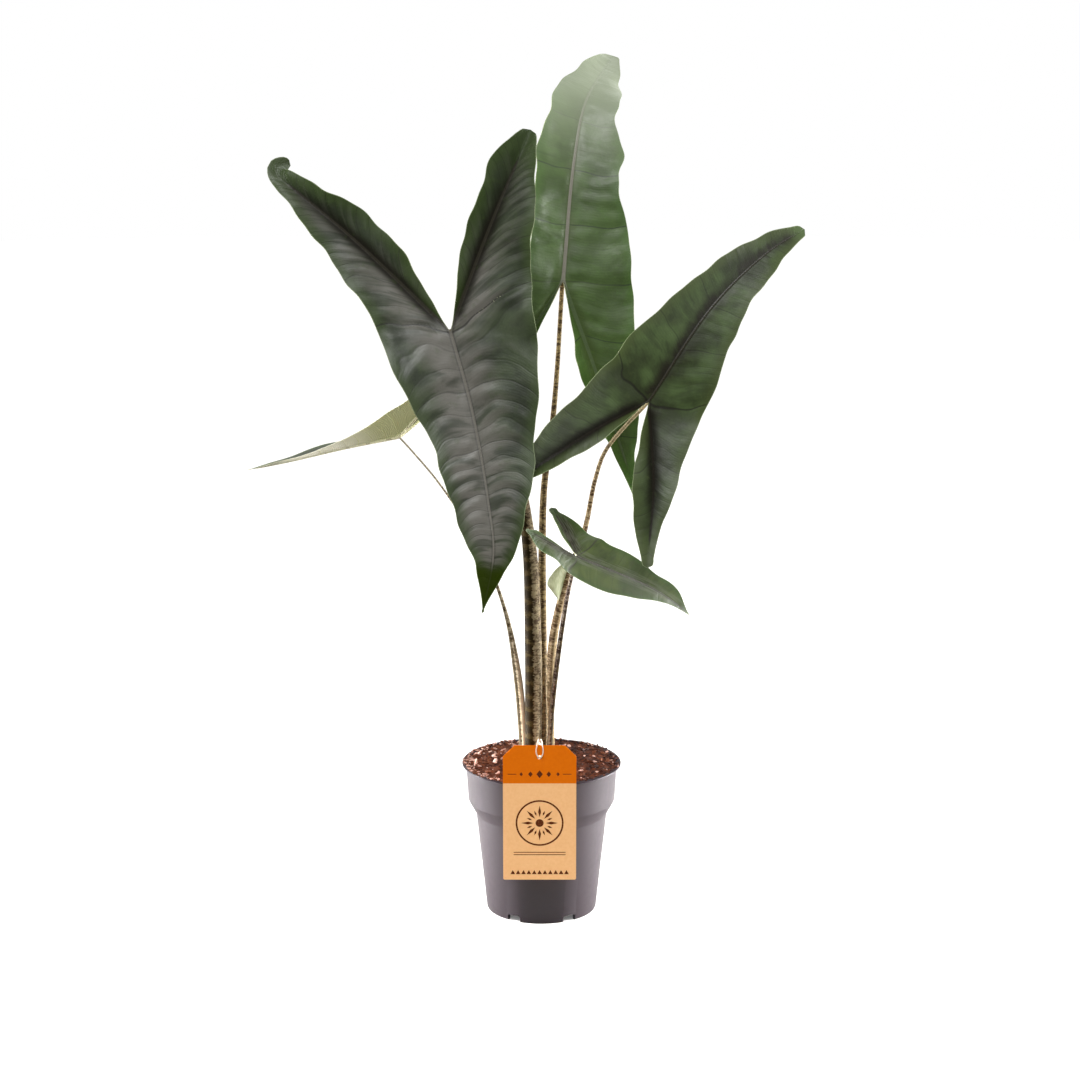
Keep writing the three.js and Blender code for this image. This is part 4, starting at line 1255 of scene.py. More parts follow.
def pot_profile(pot):
    """The pot's section: underside, foot ring, body, shoulder, collar and rolled lip."""
    height, rim, wall = POT_BOX[1].z / MM, POT_BOX[1].x / MM, pot.wall / MM
    collar, shoulder, foot = POT["collar"], POT["shoulder"], POT["foot"]
    shoulder_level, collar_level = height - POT["shoulderDepth"], height - POT["collarDepth"]
    pad, floor, ring = POT["pad"], POT["floor"], POT["footRing"]
    outside = [(pad, 0), (pad + 3, floor), (foot - ring, floor)]
    outside += [(foot - ring, 0.4), (foot - ring + 0.4, 0)]
    outside += [(foot - 1.5, 0), (foot - 0.5, 0.4), (foot, 1.5)]
    outside += [(shoulder - 0.4, shoulder_level - 2), (shoulder + 0.3, shoulder_level)]
    outside += [(POT["collarFoot"] - 0.5, collar_level - 1), (POT["collarFoot"], collar_level + 0.4)]
    outside += [(collar, height - POT["lip"] - 2.5), (collar + 0.6, height - POT["lip"] - 1.2)]
    outside += [(rim - 0.9, height - POT["lip"])]
    lip = POT["lip"] / 2
    for k in range(5):
        angle = math.radians(-72 + 36 * k)
        outside.append((rim - lip + lip * math.cos(angle), height - lip + lip * math.sin(angle)))
    inside = [(collar - wall + 0.8, height), (collar - wall, height - 0.6)]
    inside += [(POT["collarFoot"] - wall, collar_level), (shoulder - wall, shoulder_level)]
    inside += [(foot + 1 - wall, floor + wall + 2), (foot - 1 - wall, floor + wall)]
    inside += [(pad + 3, floor + wall), (pad, wall)]
    return outside + inside


def pot_cutters():
    """The foot's arched notches and the drain holes, as one object to cut with."""
    bpy.ops.object.select_all(action="DESELECT")
    made = []
    radius = POT["foot"] - POT["footRing"] / 2
    for i in range(POT["notches"]):
        turn = 2 * math.pi * (i + 0.5) / POT["notches"]
        place = (radius * math.sin(turn) * MM, -radius * math.cos(turn) * MM, 0)
        bpy.ops.mesh.primitive_cube_add(size=1, location=place, rotation=(0, 0, turn))
        notch = bpy.context.object
        notch.scale = (POT["notchWidth"] * MM, POT["notchDepth"] * MM, 2 * POT["notchHeight"] * MM)
        bpy.ops.object.transform_apply(scale=True)
        bevel = notch.modifiers.new("round", "BEVEL")
        bevel.width = POT["notchRound"] * MM
        bevel.segments = 4
        bpy.ops.object.modifier_apply(modifier="round")
        made.append(notch)
        place = (POT["drainCircle"] * math.sin(turn) * MM, -POT["drainCircle"] * math.cos(turn) * MM)
        bpy.ops.mesh.primitive_cylinder_add(
            vertices=32, radius=POT["drainRadius"] * MM, depth=8 * MM, location=(*place, POT["floor"] * MM)
        )
        made.append(bpy.context.object)
    for cutter in made:
        cutter.select_set(True)
    bpy.ops.object.join()
    return bpy.context.object


def pot_material(pot):
    """Injection-moulded polypropylene, taupe: a satin skin with a faint fine grain."""
    material, tree, principled = new_material("polypropylene, moulded taupe", Roughness=0.38, IOR=1.49)
    coords = add_node(tree, "TexCoord")
    cloud = add_node(
        tree, "TexNoise", inputs={"Vector": coords.outputs["Object"], "Scale": 1 / (45 * MM), "Detail": 3.0}
    )
    dark = (*pot.colour, 1)
    pale = (*[c * 1.25 for c in pot.colour], 1)
    colour = add_node(tree, "Mix", {"data_type": "RGBA"}, {0: cloud.outputs["Fac"], 6: dark, 7: pale})
    wear = add_node(
        tree, "TexNoise", inputs={"Vector": coords.outputs["Object"], "Scale": 1 / (6 * MM), "Detail": 5.0}
    )
    rough = add_node(
        tree, "MapRange", inputs={"Value": wear.outputs["Fac"], "To Min": 0.36, "To Max": 0.5}
    )
    tree.links.new(rough.outputs[0], principled.inputs["Roughness"])
    # Stacking has rubbed the lip dull.
    height = add_node(tree, "SeparateXYZ", inputs={0: coords.outputs["Object"]})
    lip = POT_BOX[1].z
    sheen = add_node(
        tree, "MapRange",
        inputs={
            "Value": height.outputs[2],
            "From Min": lip - 3 * MM, "From Max": lip - 2 * MM, "To Min": 0.6, "To Max": 0.1,
        },
    )
    tree.links.new(sheen.outputs[0], principled.inputs["Specular IOR Level"])
    # The mould's spark-eroded grain is about 0.1 mm; it is drawn at 0.5 mm, so that it shows.
    grain = add_node(
        tree, "TexNoise", inputs={"Vector": coords.outputs["Object"], "Scale": 1 / (0.5 * MM), "Detail": 2.0}
    )
    set_surface(tree, principled, colour.outputs[2], grain.outputs["Fac"], 0.12, 0.1)
    return material


# Soil
# Millimetres: the level of the brim, and how far the heap rises above it; the crumbs' height
# and width, and how deep under the brim they begin; and the clearance to the pot
SOIL = {
    "brim": 161.3,
    "heap": 3.5,
    "lump": 1.6,
    "lumpWidth": 9,
    "loose": 1.5,
    "gap": 0.4,
    "segments": 120,
    "chips": 1300,
    "seed": 23,
}


def soil_profile():
    """The soil's section: it fills the pot with a clearance, then rises to a low heap."""
    height = POT_BOX[1].z / MM
    wall, gap = POT["wall"], SOIL["gap"]
    edge = POT["collar"] - wall - 0.1
    floor = POT["floor"] + wall + gap
    rings = [(POT["pad"] + 3, floor), (POT["foot"] - 3.4, floor), (POT["foot"] - 1.6, floor + 3)]
    rings.append((POT["shoulder"] - wall - gap, height - POT["shoulderDepth"]))
    rings.append((POT["collarFoot"] - wall - gap, height - POT["collarDepth"]))
    rings.append((edge, SOIL["brim"] - 2))
    steps = 44
    for i in range(steps):
        radius = edge * (1 - (i + 0.4) / steps)
        rings.append((radius, SOIL["brim"] - 0.5 + SOIL["heap"] * (1 - (radius / edge) ** 2)))
    return rings


def soil_lift(x, y):
    """How far the soil's crumbs stand above or below its heap, in mm."""
    width = SOIL["lumpWidth"]
    return SOIL["lump"] * noise.fractal(Vector((x / width, y / width, 3.1)), 1.0, 2.0, 4)


def soil_material():
    """Potting mix of coir and fine bark, moist: dark red-brown, crumbly and dull."""
    material, tree, principled = new_material(
        "coir and bark potting mix", Roughness=0.9, Specular_IOR_Level=0.15
    )
    coords = add_node(tree, "TexCoord")
    crumb = add_node(
        tree, "TexNoise", inputs={"Vector": coords.outputs["Object"], "Scale": 1 / (3 * MM), "Detail": 6.0}
    )
    shade = add_node(
        tree, "MapRange", inputs={"Value": crumb.outputs["Fac"], "From Min": 0.38, "From Max": 0.62}
    )
    colour = add_node(
        tree, "Mix", {"data_type": "RGBA"}, {0: shade.outputs[0], 6: linear("#1e0b04"), 7: linear("#562810")}
    )
    set_surface(tree, principled, colour.outputs[2], crumb.outputs["Fac"], 0.9, 1.2)
    return material


def chip_material():
    """Bark chips and coir: each chip has its own tone, from dark brown to pinkish tan."""
    material, tree, principled = new_material("bark chips, moist", Roughness=0.75, Specular_IOR_Level=0.2)
    tone = add_node(tree, "Attribute", {"attribute_name": "tone"})
    coords = add_node(tree, "TexCoord")
    streak = add_node(
        tree, "TexNoise", inputs={"Vector": coords.outputs["Object"], "Scale": 1 / (1.5 * MM), "Detail": 3.0}
    )
    pale = add_node(
        tree, "MapRange",
        inputs={"Value": tone.outputs["Fac"], "From Min": 0.8, "From Max": 0.92, "To Max": 0.9},
    )
    shade = add_node(
        tree, "MapRange",
        inputs={"Value": streak.outputs["Fac"], "From Min": 0.4, "From Max": 0.7, "To Max": 0.5},
    )
    colour = linear("#260e05")
    for share, tint in (
        (tone.outputs["Fac"], "#6e3819"), (pale.outputs[0], "#d4ab9c"), (shade.outputs[0], "#2c130d"),
    ):
        over = add_node(tree, "Mix", {"data_type": "RGBA"}, {0: share, 6: colour, 7: linear(tint)})
        colour = over.outputs[2]
    set_surface(tree, principled, colour, streak.outputs["Fac"], 0.5, 0.5)
    return material


def stalk_clear(x, y, margin):
    """True where nothing grows through the soil."""
    feet = [(leaf["petiole"][1], leaf["radii"][1]) for leaf in LEAVES.values()]
    return all(math.hypot(x - p[0], y - p[1]) > r + margin for p, r in feet)


def chips():
    """Bark chips on the soil: one low rock shape, copied, stretched, broken and strewn."""
    draw = random.Random(SOIL["seed"])
    bpy.ops.object.select_all(action="DESELECT")
    bpy.ops.mesh.primitive_ico_sphere_add(subdivisions=1, radius=1)
    pattern = bpy.context.object
    corners = np.array([v.co for v in pattern.data.vertices])
    sides = [tuple(p.vertices) for p in pattern.data.polygons]
    bpy.data.objects.remove(pattern)
    edge = POT["collar"] - 0.8
    points, faces, tones = [], [], []
    while len(tones) < SOIL["chips"] * len(corners):
        # Every third chip lies by the wall or on the lip.
        share = math.sqrt(draw.random()) if draw.random() > 0.33 else draw.uniform(0.94, 1.045)
        radius, turn = edge * share, 2 * math.pi * draw.random()
        x, y = radius * math.cos(turn), radius * math.sin(turn)
        size = mix(1.2, 3.6 if share < 0.94 else 2.3, draw.random() ** 2)
        stretch = size * np.array([mix(1, 2.1, draw.random()), mix(0.6, 1, draw.random()), 0.42])
        rough = np.array([[draw.uniform(0.72, 1.2) for _ in range(3)] for _ in corners])
        tilt = Matrix.Rotation(draw.uniform(0, 2 * math.pi), 3, "Z")
        for axis in "XY":
            tilt = tilt @ Matrix.Rotation(draw.gauss(0, 0.35), 3, axis)
        # Paler chips lie to the left.
        tone = draw.random() ** (0.5 if x < 0 else 2.2)
        if not stalk_clear(x, y, 1.2):
            continue
        rise = SOIL["heap"] * (1 - (radius / edge) ** 2) + soil_lift(x, y)
        if radius > edge - 1:
            # These lie on the pot's lip.
            rise = POT_BOX[1].z / MM - SOIL["brim"] + 0.6
        shape = (corners * rough * stretch) @ np.array(tilt).T
        start = len(tones)
        points.extend(shape + [x, y, SOIL["brim"] - 0.5 + rise + 0.3 * stretch[2]])
        faces.extend(tuple(v + start for v in side) for side in sides)
        tones.extend([tone] * len(corners))
    piece = mesh_piece("bark_chips", points, faces, [chip_material()])
    add_attribute(piece.data, "tone", tones)
    return piece


# Tag
# Millimetres: cut corners, rounded foot corners, the hole and how far below the top it is,
# and the height above the ground where the orange band starts
TAG = {"corner": 12, "foot": 1.5, "holeRadius": 2.6, "holeDrop": 13, "band": 165}
# How high above the ground each part of the print stands, in mm
PRINT = {"lozenges": 175, "ring": 122, "rules": (90, 87.4), "triangles": 66}


def tag_outline():
    """The card's corners from the bottom left, in mm from its middle and foot."""
    w, h = (TAG_BOX[1].x - TAG_BOX[0].x) / MM / 2, (TAG_BOX[1].z - TAG_BOX[0].z) / MM
    cut, foot = TAG["corner"], TAG["foot"]
    corners = []
    for side in (-1, 1):
        arc = [math.radians(a) for a in (0, 22.5, 45, 67.5, 90)]
        ring = [(side * (w - foot + foot * math.sin(a)), foot - foot * math.cos(a)) for a in arc]
        corners.append(ring)
    left = corners[0][::-1]
    return [*left, *corners[1], (w, h - cut), (w - cut, h), (cut - w, h), (-w, h - cut)]


def card_material():
    """Kraft card, printed: fibres and flecks show, with an orange band at the top."""
    material, tree, principled = new_material("kraft card, printed", Roughness=0.85, Specular_IOR_Level=0.1)
    coords = add_node(tree, "TexCoord")
    height = add_node(tree, "SeparateXYZ", inputs={0: coords.outputs["Object"]})
    fibre = add_node(
        tree, "TexNoise", inputs={"Vector": coords.outputs["Object"], "Scale": 1 / (2.5 * MM), "Detail": 5.0}
    )
    kraft, orange = (
        add_node(
            tree, "Mix", {"data_type": "RGBA"}, {0: fibre.outputs["Fac"], 6: linear(dark), 7: linear(light)}
        )
        for dark, light in (("#dba46c", "#e9b985"), ("#c65e00", "#d26a00"))
    )
    band, blur = TAG["band"] * MM, 0.1 * MM
    band = add_node(
        tree, "MapRange",
        inputs={"Value": height.outputs[2], "From Min": band - blur, "From Max": band + blur},
    )
    colour = add_node(
        tree, "Mix", {"data_type": "RGBA"}, {0: band.outputs[0], 6: kraft.outputs[2], 7: orange.outputs[2]}
    )
    set_surface(tree, principled, colour.outputs[2], fibre.outputs["Fac"], 0.25, 0.15)
    return material


def ink_material():
    """Brown printing ink on card: flat, slightly broken."""
    material, tree, principled = new_material("printing ink, brown", Roughness=0.8, Specular_IOR_Level=0.1)
    coords = add_node(tree, "TexCoord")
    worn = add_node(
        tree, "TexNoise", inputs={"Vector": coords.outputs["Object"], "Scale": 1 / (1.2 * MM), "Detail": 4.0}
    )
    shade = add_node(
        tree, "MapRange",
        inputs={"Value": worn.outputs["Fac"], "From Min": 0.55, "From Max": 0.7, "To Max": 0.35},
    )
    colour = add_node(
        tree, "Mix", {"data_type": "RGBA"}, {0: shade.outputs[0], 6: linear("#4f2209"), 7: linear("#a87040")}
    )
    set_surface(tree, principled, colour.outputs[2])
    return material


def prisms(name, outlines, front, depth, materials):
    """Thin upright plates from outlines (x, z) in mm, each closed."""
    points, faces = [], []
    for outline in outlines:
        start, count = len(points), len(outline)
        points += [(x, front, z) for x, z in outline] + [(x, front + depth, z) for x, z in outline]
        ring = range(start, start + count)
        faces += [tuple(ring), tuple(v + count for v in reversed(ring))]
        for k in range(count):
            a, b = start + k, start + (k + 1) % count
            faces.append((a, a + count, b + count, b))
    piece = mesh_piece(name, points, faces, materials)
    face_outwards(piece)
    return piece


def bar(start, end, z, half):
    """A level bar's outline, from its two ends, its height and half its width."""
    return [(start, z - half), (end, z - half), (end, z + half), (start, z + half)]


def card_print():
    """A plain motif: lozenges, a ring with a rayed disc, two rules and a row of triangles."""
    middle, front = (TAG_BOX[0].x + TAG_BOX[1].x) / MM / 2, TAG_BOX[0].y / MM - 0.06
    outlines = []
    for k, size in ((-2, 2.2), (-1, 3), (0, 4.2), (1, 3), (2, 2.2)):
        x, z = middle + 9.5 * k, PRINT["lozenges"]
        outlines.append([(x - size * 0.8, z), (x, z - size), (x + size * 0.8, z), (x, z + size)])
    for side in (-1, 1):
        outlines.append(bar(middle + side * 24, middle + side * 33, PRINT["lozenges"], 0.35))
    centre, rays = PRINT["ring"], 16
    for k in range(rays):
        near, far, wide = ((6.5, 19, 0.13), (8.5, 14.5, 0.09))[k % 2]
        turn = 2 * math.pi * k / rays
        half_way = mix(near, far, 0.45)
        corners = ((near, 0), (half_way, wide), (far, 0), (half_way, -wide))
        outlines.append(
            [(middle + r * math.sin(turn + a), centre + r * math.cos(turn + a)) for r, a in corners]
        )
    outlines += [bar(middle - 27, middle + 27, z, 0.4) for z in PRINT["rules"]]
    for k in range(11):
        x, z = middle + 5.6 * (k - 5), PRINT["triangles"]
        outlines.append([(x - 2.5, z), (x + 2.5, z), (x, z + 4.5)])
    ink = ink_material()
    plates = prisms("print", outlines, front, 0.1, [ink])
    place = {"location": (middle * MM, (front + 0.05) * MM, centre * MM), "rotation": (math.pi / 2, 0, 0)}
    bpy.ops.object.select_all(action="DESELECT")
    bpy.ops.mesh.primitive_torus_add(
        major_radius=24 * MM, minor_radius=0.9 * MM, major_segments=96, minor_segments=8, **place
    )
    ring = bpy.context.object
    ring.scale = (1, 1, 0.055)
    bpy.ops.object.select_all(action="DESELECT")
    bpy.ops.mesh.primitive_cylinder_add(vertices=48, radius=4.2 * MM, depth=0.1 * MM, **place)
    disc = bpy.context.object
    for name, piece in (("print_ring", ring), ("print_disc", disc)):
        piece.name = name
        piece.data.materials.append(ink)
        set_place(piece)
    return [plates, ring, disc]


# Cord
# Radii in mm, and how far each strand stands off the middle where the slip knot joins them
CORD = {"radius": 0.65, "tagKnot": 2.4, "slipKnot": 1.8, "slipGap": 0.8, "step": 0.9, "sides": 10}
SLIP = (-2.6, -13.7, 186)
ROUND_LEFT = [(-9, -14.9, 181), (-16.4, -12, 178.5), (-21.8, -5.5, 176), (-25, 0.5, 174),
              (-22.6, 4.9, 172), (-10, 11, 169.5), (0.8, 14.8, 168)]
ROUND_RIGHT = [(3, -12.2, 181), (8.7, -10.2, 179), (13, -6.8, 177), (15.6, 1, 175),
               (14.6, 6.2, 172.5), (6.6, 13.2, 170), (0.8, 14.8, 168)]


def strand(side):
    """One strand of the cord, from the knot behind the card to the slip knot."""
    middle = (TAG_BOX[0].x + TAG_BOX[1].x) / 2 / MM
    face, back, top = TAG_BOX[0].y / MM, TAG_BOX[1].y / MM, TAG_BOX[1].z / MM
    hole = top - TAG["holeDrop"]
    return [
        (middle + side * 0.4, back + CORD["tagKnot"] + 0.3, hole),
        (middle + side * 0.8, back - 0.4, hole),
        (middle + side * 1.4, face - 1.5, hole + 0.6),
        (middle + side * 3.2, face - 2, hole + 4.5),
        (middle + side * 3.6, face - 1.5, hole + 8.5),
        (middle + side * 2.9, face - 1.5, top),
        (middle + side * 2.5, face + 1, top + 2),
        # Over the card's top edge, and down behind it to the slip knot
        (middle + side * 1.7, -60, top - 2.5),
        (middle + side * 1, -30, top - 11),
        (SLIP[0] + side * CORD["slipGap"], SLIP[1] - 0.3, SLIP[2]),
    ]


def cord_material():
    """Twisted cotton yarn, natural white: two plies wound round each other."""
    material, tree, principled = new_material("cotton yarn, natural", Roughness=0.9)
    stem = add_node(tree, "Attribute", {"attribute_name": "stem"})
    parts = add_node(tree, "SeparateXYZ", inputs={0: stem.outputs["Vector"]})
    angle = add_node(tree, "Math", {"operation": "ARCTAN2"}, {0: parts.outputs[1], 1: parts.outputs[0]})
    # The plies turn once in 3 mm of cord.
    wound = add_node(
        tree, "Math", {"operation": "MULTIPLY_ADD"},
        {0: parts.outputs[2], 1: 2 * math.pi / 3, 2: angle.outputs[0]},
    )
    ply = add_node(tree, "Math", {"operation": "MULTIPLY"}, {0: wound.outputs[0], 1: 2.0})
    ply = add_node(tree, "Math", {"operation": "SINE"}, {0: ply.outputs[0]})
    # The tan where the two plies meet is painted shade in the groove of the twist.
    light = add_node(
        tree, "MapRange", inputs={"Value": ply.outputs[0], "From Min": -1.0, "From Max": 0.2}
    )
    colour = add_node(
        tree, "Mix", {"data_type": "RGBA"}, {0: light.outputs[0], 6: linear("#b3967a"), 7: linear("#e6d8c6")}
    )
    set_surface(tree, principled, colour.outputs[2], ply.outputs[0], 0.6, 0.2)
    return material


# Rhizome
def rhizome_material():
    """Rootstock in the soil: a dull corky bark, ringed by the scars of old leaves."""
    material, tree, principled = new_material("rhizome, corky", Roughness=0.8)
    coords = add_node(tree, "TexCoord")
    rings = add_node(
        tree, "TexWave", {"bands_direction": "Z"},
        {"Vector": coords.outputs["Object"], "Scale": 0.05 / MM, "Distortion": 6.0, "Detail": 3.0},
    )
    colour = add_node(
        tree, "Mix", {"data_type": "RGBA"},
        {0: rings.outputs["Fac"], 6: linear("#5a3f28"), 7: linear("#a98860")},
    )
    set_surface(tree, principled, colour.outputs[2], rings.outputs["Fac"], 0.6, 0.8)
    return material


# Settings that a user would change
class PotSettings(bpy.types.PropertyGroup):
    """The pot."""

    wall: bpy.props.FloatProperty(
        name="Wall", description="Thickness of the pot's wall",
        default=POT["wall"] * MM, unit="LENGTH", precision=4,
    )
    segments: bpy.props.IntProperty(
        name="Segments", description="Sides of the turned shape", default=144, min=24
    )
    colour: bpy.props.FloatVectorProperty(
        name="Colour", description="Colour of the plastic", default=linear("#231b20")[:3], subtype="COLOR"
    )


class StageSettings(bpy.types.PropertyGroup):
    """The floor, lights and camera."""

    floor: bpy.props.FloatVectorProperty(
        name="Floor", description="Colour of the floor", default=linear("#f4f2f0")[:3], subtype="COLOR"
    )
    lens: bpy.props.FloatProperty(
        name="Lens", description="Focal length on a 36 mm sensor, in mm", default=77.43
    )
    side: bpy.props.FloatProperty(
        name="Side", description="How far right of the plant's axis the camera stands",
        default=-0.0016, unit="LENGTH", precision=4,
    )
    distance: bpy.props.FloatProperty(
        name="Distance", description="From the plant's axis to the camera", default=2.384, unit="LENGTH"
    )
    height: bpy.props.FloatProperty(
        name="Height", description="Height of the camera", default=0.914, unit="LENGTH"
    )
    fill: bpy.props.FloatProperty(
        name="Fill light", description="How strongly the white surround lights the plant", default=0.5
    )
    pitch: bpy.props.FloatProperty(
        name="Pitch", description="How far the camera looks down",
        default=math.radians(12.07), subtype="ANGLE",
    )


class ALOCASIA_OT_stage(bpy.types.Operator):
    """Makes the floor, the lights and the camera"""

    bl_idname = "alocasia.stage"
    bl_label = "Stage"

    def execute(self, context):
        stage = context.scene.alocasia_stage
        camera = bpy.data.objects.new("camera", bpy.data.cameras.new("camera"))
        context.scene.collection.objects.link(camera)
        camera.location = (stage.side, -stage.distance, stage.height)
        camera.rotation_euler = (math.pi / 2 - stage.pitch, 0, 0)
        camera.data.sensor_width = 36
        camera.data.lens = stage.lens
        context.scene.camera = camera
        bpy.ops.object.select_all(action="DESELECT")
        bpy.ops.mesh.primitive_circle_add(vertices=96, radius=9, fill_type="NGON", location=(0, 0, 0))
        floor = context.object
        floor.name = "floor"
        material, tree, principled = new_material("painted floor, matt white", Roughness=0.9)
        principled.inputs["Base Color"].default_value = (*stage.floor, 1)
        principled.inputs["Emission Color"].default_value = (1, 1, 1, 1)
        principled.inputs["Emission Strength"].default_value = 0.12
        # The plant is lit as over a dull floor, so that its underside stays dark.
        dull = add_node(tree, "BsdfDiffuse", inputs={"Color": linear("#8a8886")})
        seen = add_node(tree, "LightPath")
        both = add_node(
            tree, "MixShader",
            inputs={0: seen.outputs["Is Camera Ray"], 1: dull.outputs[0], 2: principled.outputs[0]},
        )
        tree.links.new(both.outputs[0], tree.nodes["Material Output"].inputs["Surface"])
        floor.data.materials.append(material)
        # White paper behind the plant, which lights it less than it shows.
        world = bpy.data.worlds.new("studio")
        context.scene.world = world
        world.use_nodes = True
        tree = world.node_tree
        seen = add_node(tree, "LightPath")
        strength = add_node(
            tree, "Math", {"operation": "MULTIPLY_ADD"},
            {0: seen.outputs["Is Camera Ray"], 1: 1 - stage.fill, 2: stage.fill},
        )
        tree.nodes["Background"].inputs["Color"].default_value = linear("#ffffff")
        tree.links.new(strength.outputs[0], tree.nodes["Background"].inputs["Strength"])
        sun = bpy.data.lights.new("sun", "SUN")
        sun.energy = 2.2
        sun.angle = math.radians(28)
        lamp = bpy.data.objects.new("sun", sun)
        lamp.rotation_euler = (math.radians(36), 0, math.radians(-14))
        context.scene.collection.objects.link(lamp)
        # Each area light's name, place, width and height, and power
        lights = [
            ("side_left", (-1.7, 0.35, 0.5), (1.2, 1.6), 90),
            ("side_right", (1.7, 0.35, 0.5), (1.2, 1.6), 90),
            ("low_left", (-0.9, 0.22, 0.1), (0.4, 0.25), 4.4),
            ("low_right", (0.9, 0.22, 0.1), (0.4, 0.25), 4.4),
            ("front", (-0.3, -2.75, 1.85), (1.0, 0.5), 13),
            ("back", (0.3, 1.5, 2.3), (1.6, 1.2), 14),
        ]
        for name, place, size, power in lights:
            data = bpy.data.lights.new(name, "AREA")
            data.shape = "RECTANGLE"
            data.size, data.size_y = size
            data.energy = power
            light = bpy.data.objects.new(name, data)
            light.location = place
            # The low lights are narrow and meet the pot; the others meet the leaves.
            target = Vector((0, 0, 0.4))
            if name.startswith("low"):
                data.spread = math.radians(40)
                target.z = 0.07
            aim = target - Vector(place)
            light.rotation_euler = aim.to_track_quat("-Z", "Y").to_euler()
            context.scene.collection.objects.link(light)
        context.scene.view_settings.view_transform = "Standard"
        return {"FINISHED"}


class ALOCASIA_OT_cord(bpy.types.Operator):
    """Makes the cord: knot, left strand, round the stalks, right strand, knot"""

    bl_idname = "alocasia.cord"
    bl_label = "Cord"

    def execute(self, context):
        path = [*strand(-1), *ROUND_LEFT, *ROUND_RIGHT[-2::-1], *strand(1)[::-1]]
        route = Route(path)
        shares = np.linspace(0, 1, math.ceil(route.length / CORD["step"]) + 1)
        yarn = cord_material()
        radius = np.full(len(shares), CORD["radius"])
        cord = tube("cord", route, shares, radius, CORD["sides"], [yarn])
        finish_piece(cord, "tag_cord", "tag_cord", angle=40)
        for name, size, place in (
            ("knot_tag", CORD["tagKnot"], strand(0)[0]), ("knot_slip", CORD["slipKnot"], SLIP),
        ):
            bpy.ops.object.select_all(action="DESELECT")
            bpy.ops.mesh.primitive_torus_add(
                location=[x * MM for x in place], rotation=(0.5, 0.4, 0.3),
                major_segments=28, minor_segments=12,
                major_radius=0.52 * size * MM, minor_radius=0.46 * size * MM,
            )
            knot = context.object
            knot.name = name
            knot.data.materials.append(yarn)
            set_place(knot)
            finish_piece(knot, "tag_cord", angle=60)
        return {"FINISHED"}


class ALOCASIA_OT_pot(bpy.types.Operator):
    """Makes the moulded nursery pot with its foot notches and drain holes"""

    bl_idname = "alocasia.pot"
    bl_label = "Pot"

    def execute(self, context):
        settings = context.scene.alocasia_pot
        pot = turned("nursery_pot", pot_profile(settings), settings.segments)
        cut_out(pot, pot_cutters())
        pot.data.materials.append(pot_material(settings))
        finish_piece(pot, "pot", "pot", angle=28)
        return {"FINISHED"}


class ALOCASIA_OT_soil(bpy.types.Operator):
    """Makes the soil with its crumbs, and strews bark chips on it"""

    bl_idname = "alocasia.soil"
    bl_label = "Soil"

    def execute(self, context):
        soil = turned("potting_mix", soil_profile(), SOIL["segments"])
        for vertex in soil.data.vertices:
            x, y, z = vertex.co / MM
            if z > SOIL["brim"] - SOIL["loose"]:
                vertex.co.z += soil_lift(x, y) * MM
        soil.data.materials.append(soil_material())
        finish_piece(soil, "soil", "soil", angle=50)
        finish_piece(chips(), "soil", angle=30)
        return {"FINISHED"}


class ALOCASIA_OT_rhizome(bpy.types.Operator):
    """Gives the rhizome in the soil its corky look"""

    bl_idname = "alocasia.rhizome"
    bl_label = "Rhizome"

    def execute(self, context):
        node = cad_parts["rhizome"]
        node.data.materials.clear()
        node.data.materials.append(rhizome_material())
        return {"FINISHED"}


class ALOCASIA_OT_blades(bpy.types.Operator):
    """Makes the five blades"""

    bl_idname = "alocasia.blades"
    bl_label = "Blades"

    def execute(self, context):
        for name, leaf in LEAVES.items():
            materials = [upper_material(name, leaf), under_material(name, leaf)]
            piece = blade(f"leaf_{name}", leaf, materials)
            finish_piece(piece, f"leaf_{name}", f"blade_{name}", angle=50)
        return {"FINISHED"}


class ALOCASIA_OT_petioles(bpy.types.Operator):
    """Makes the leaf stalks and the sheath's free tip"""

    bl_idname = "alocasia.petioles"
    bl_label = "Petioles"

    def execute(self, context):
        for name, leaf in LEAVES.items():
            finish_piece(petiole(name, leaf), "petiole", f"petiole_{name}", angle=60)
        finish_piece(sheath_flap(), "sheath", "sheath", angle=50)
        return {"FINISHED"}


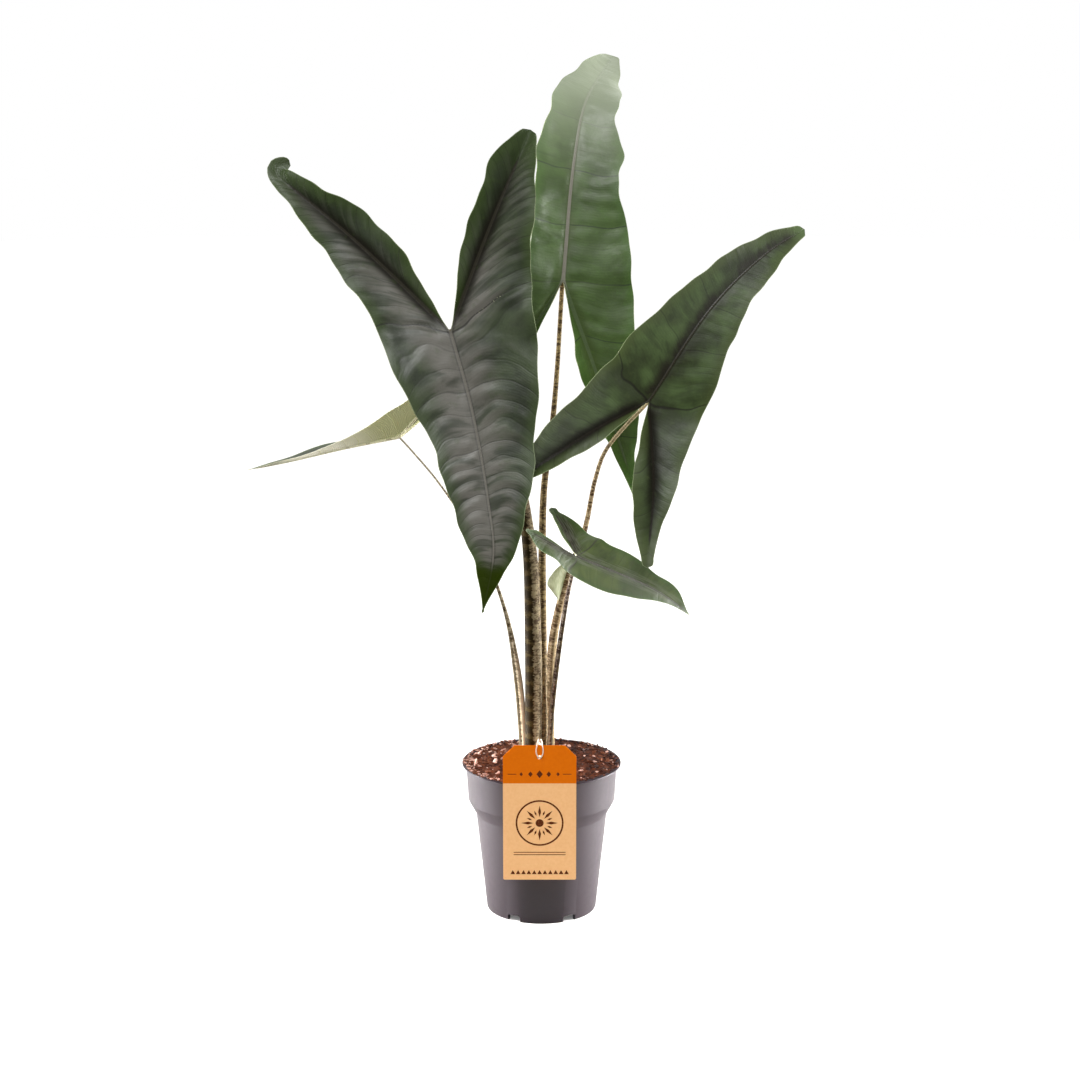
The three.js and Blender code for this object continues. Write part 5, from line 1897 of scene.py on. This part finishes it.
class ALOCASIA_OT_tag(bpy.types.Operator):
    """Makes the card tag and its printed motif"""

    bl_idname = "alocasia.tag"
    bl_label = "Tag"

    def execute(self, context):
        middle = (TAG_BOX[0].x + TAG_BOX[1].x) / 2
        thickness = TAG_BOX[1].y - TAG_BOX[0].y
        outline = tag_outline()
        points = [(middle / MM + x, TAG_BOX[0].y / MM, TAG_BOX[0].z / MM + z) for x, z in outline]
        tag = mesh_piece("card_tag", points, [tuple(range(len(points)))], [card_material()])
        select_only(tag)
        bpy.ops.object.mode_set(mode="EDIT")
        bpy.ops.mesh.select_all(action="SELECT")
        bpy.ops.mesh.extrude_region_move(TRANSFORM_OT_translate={"value": (0, thickness, 0)})
        bpy.ops.object.mode_set(mode="OBJECT")
        face_outwards(tag)
        hole = TAG_BOX[1].z - TAG["holeDrop"] * MM
        bpy.ops.mesh.primitive_cylinder_add(
            vertices=32, radius=TAG["holeRadius"] * MM, depth=6 * MM,
            location=(middle, TAG_BOX[0].y, hole), rotation=(math.pi / 2, 0, 0),
        )
        cut_out(tag, context.object)
        finish_piece(tag, "tag", "tag", angle=30)
        for piece in card_print():
            finish_piece(piece, "tag", angle=30)
        return {"FINISHED"}


class ALOCASIA_PT_panel(bpy.types.Panel):
    """Lists the plant's settings and the operators that make it"""

    bl_label = "Potted alocasia"
    bl_idname = "ALOCASIA_PT_panel"
    bl_space_type = "VIEW_3D"
    bl_region_type = "UI"
    bl_category = "Alocasia"

    def draw(self, context):
        layout = self.layout
        for group in (context.scene.alocasia_pot, context.scene.alocasia_stage):
            for name in group.__annotations__:
                layout.prop(group, name)
        for operator in OPERATORS:
            layout.operator(operator.bl_idname)


OPERATORS = (
    ALOCASIA_OT_stage,
    ALOCASIA_OT_cord,
    ALOCASIA_OT_pot,
    ALOCASIA_OT_soil,
    ALOCASIA_OT_rhizome,
    ALOCASIA_OT_blades,
    ALOCASIA_OT_petioles,
    ALOCASIA_OT_tag,
)
CLASSES = (PotSettings, StageSettings, *OPERATORS, ALOCASIA_PT_panel)


def register():
    """Makes the classes and their settings known to Blender."""
    for item in CLASSES:
        bpy.utils.register_class(item)
    bpy.types.Scene.alocasia_pot = bpy.props.PointerProperty(type=PotSettings)
    bpy.types.Scene.alocasia_stage = bpy.props.PointerProperty(type=StageSettings)


def unregister():
    """Takes them away again."""
    del bpy.types.Scene.alocasia_pot
    del bpy.types.Scene.alocasia_stage
    for item in reversed(CLASSES):
        bpy.utils.unregister_class(item)


def main():
    """Makes the stage and the plant."""
    register()
    bpy.ops.alocasia.stage()
    bpy.ops.alocasia.cord()
    bpy.ops.alocasia.pot()
    bpy.ops.alocasia.soil()
    bpy.ops.alocasia.rhizome()
    bpy.ops.alocasia.blades()
    bpy.ops.alocasia.petioles()
    bpy.ops.alocasia.tag()
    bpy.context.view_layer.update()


if __name__ == "__main__":
    main()
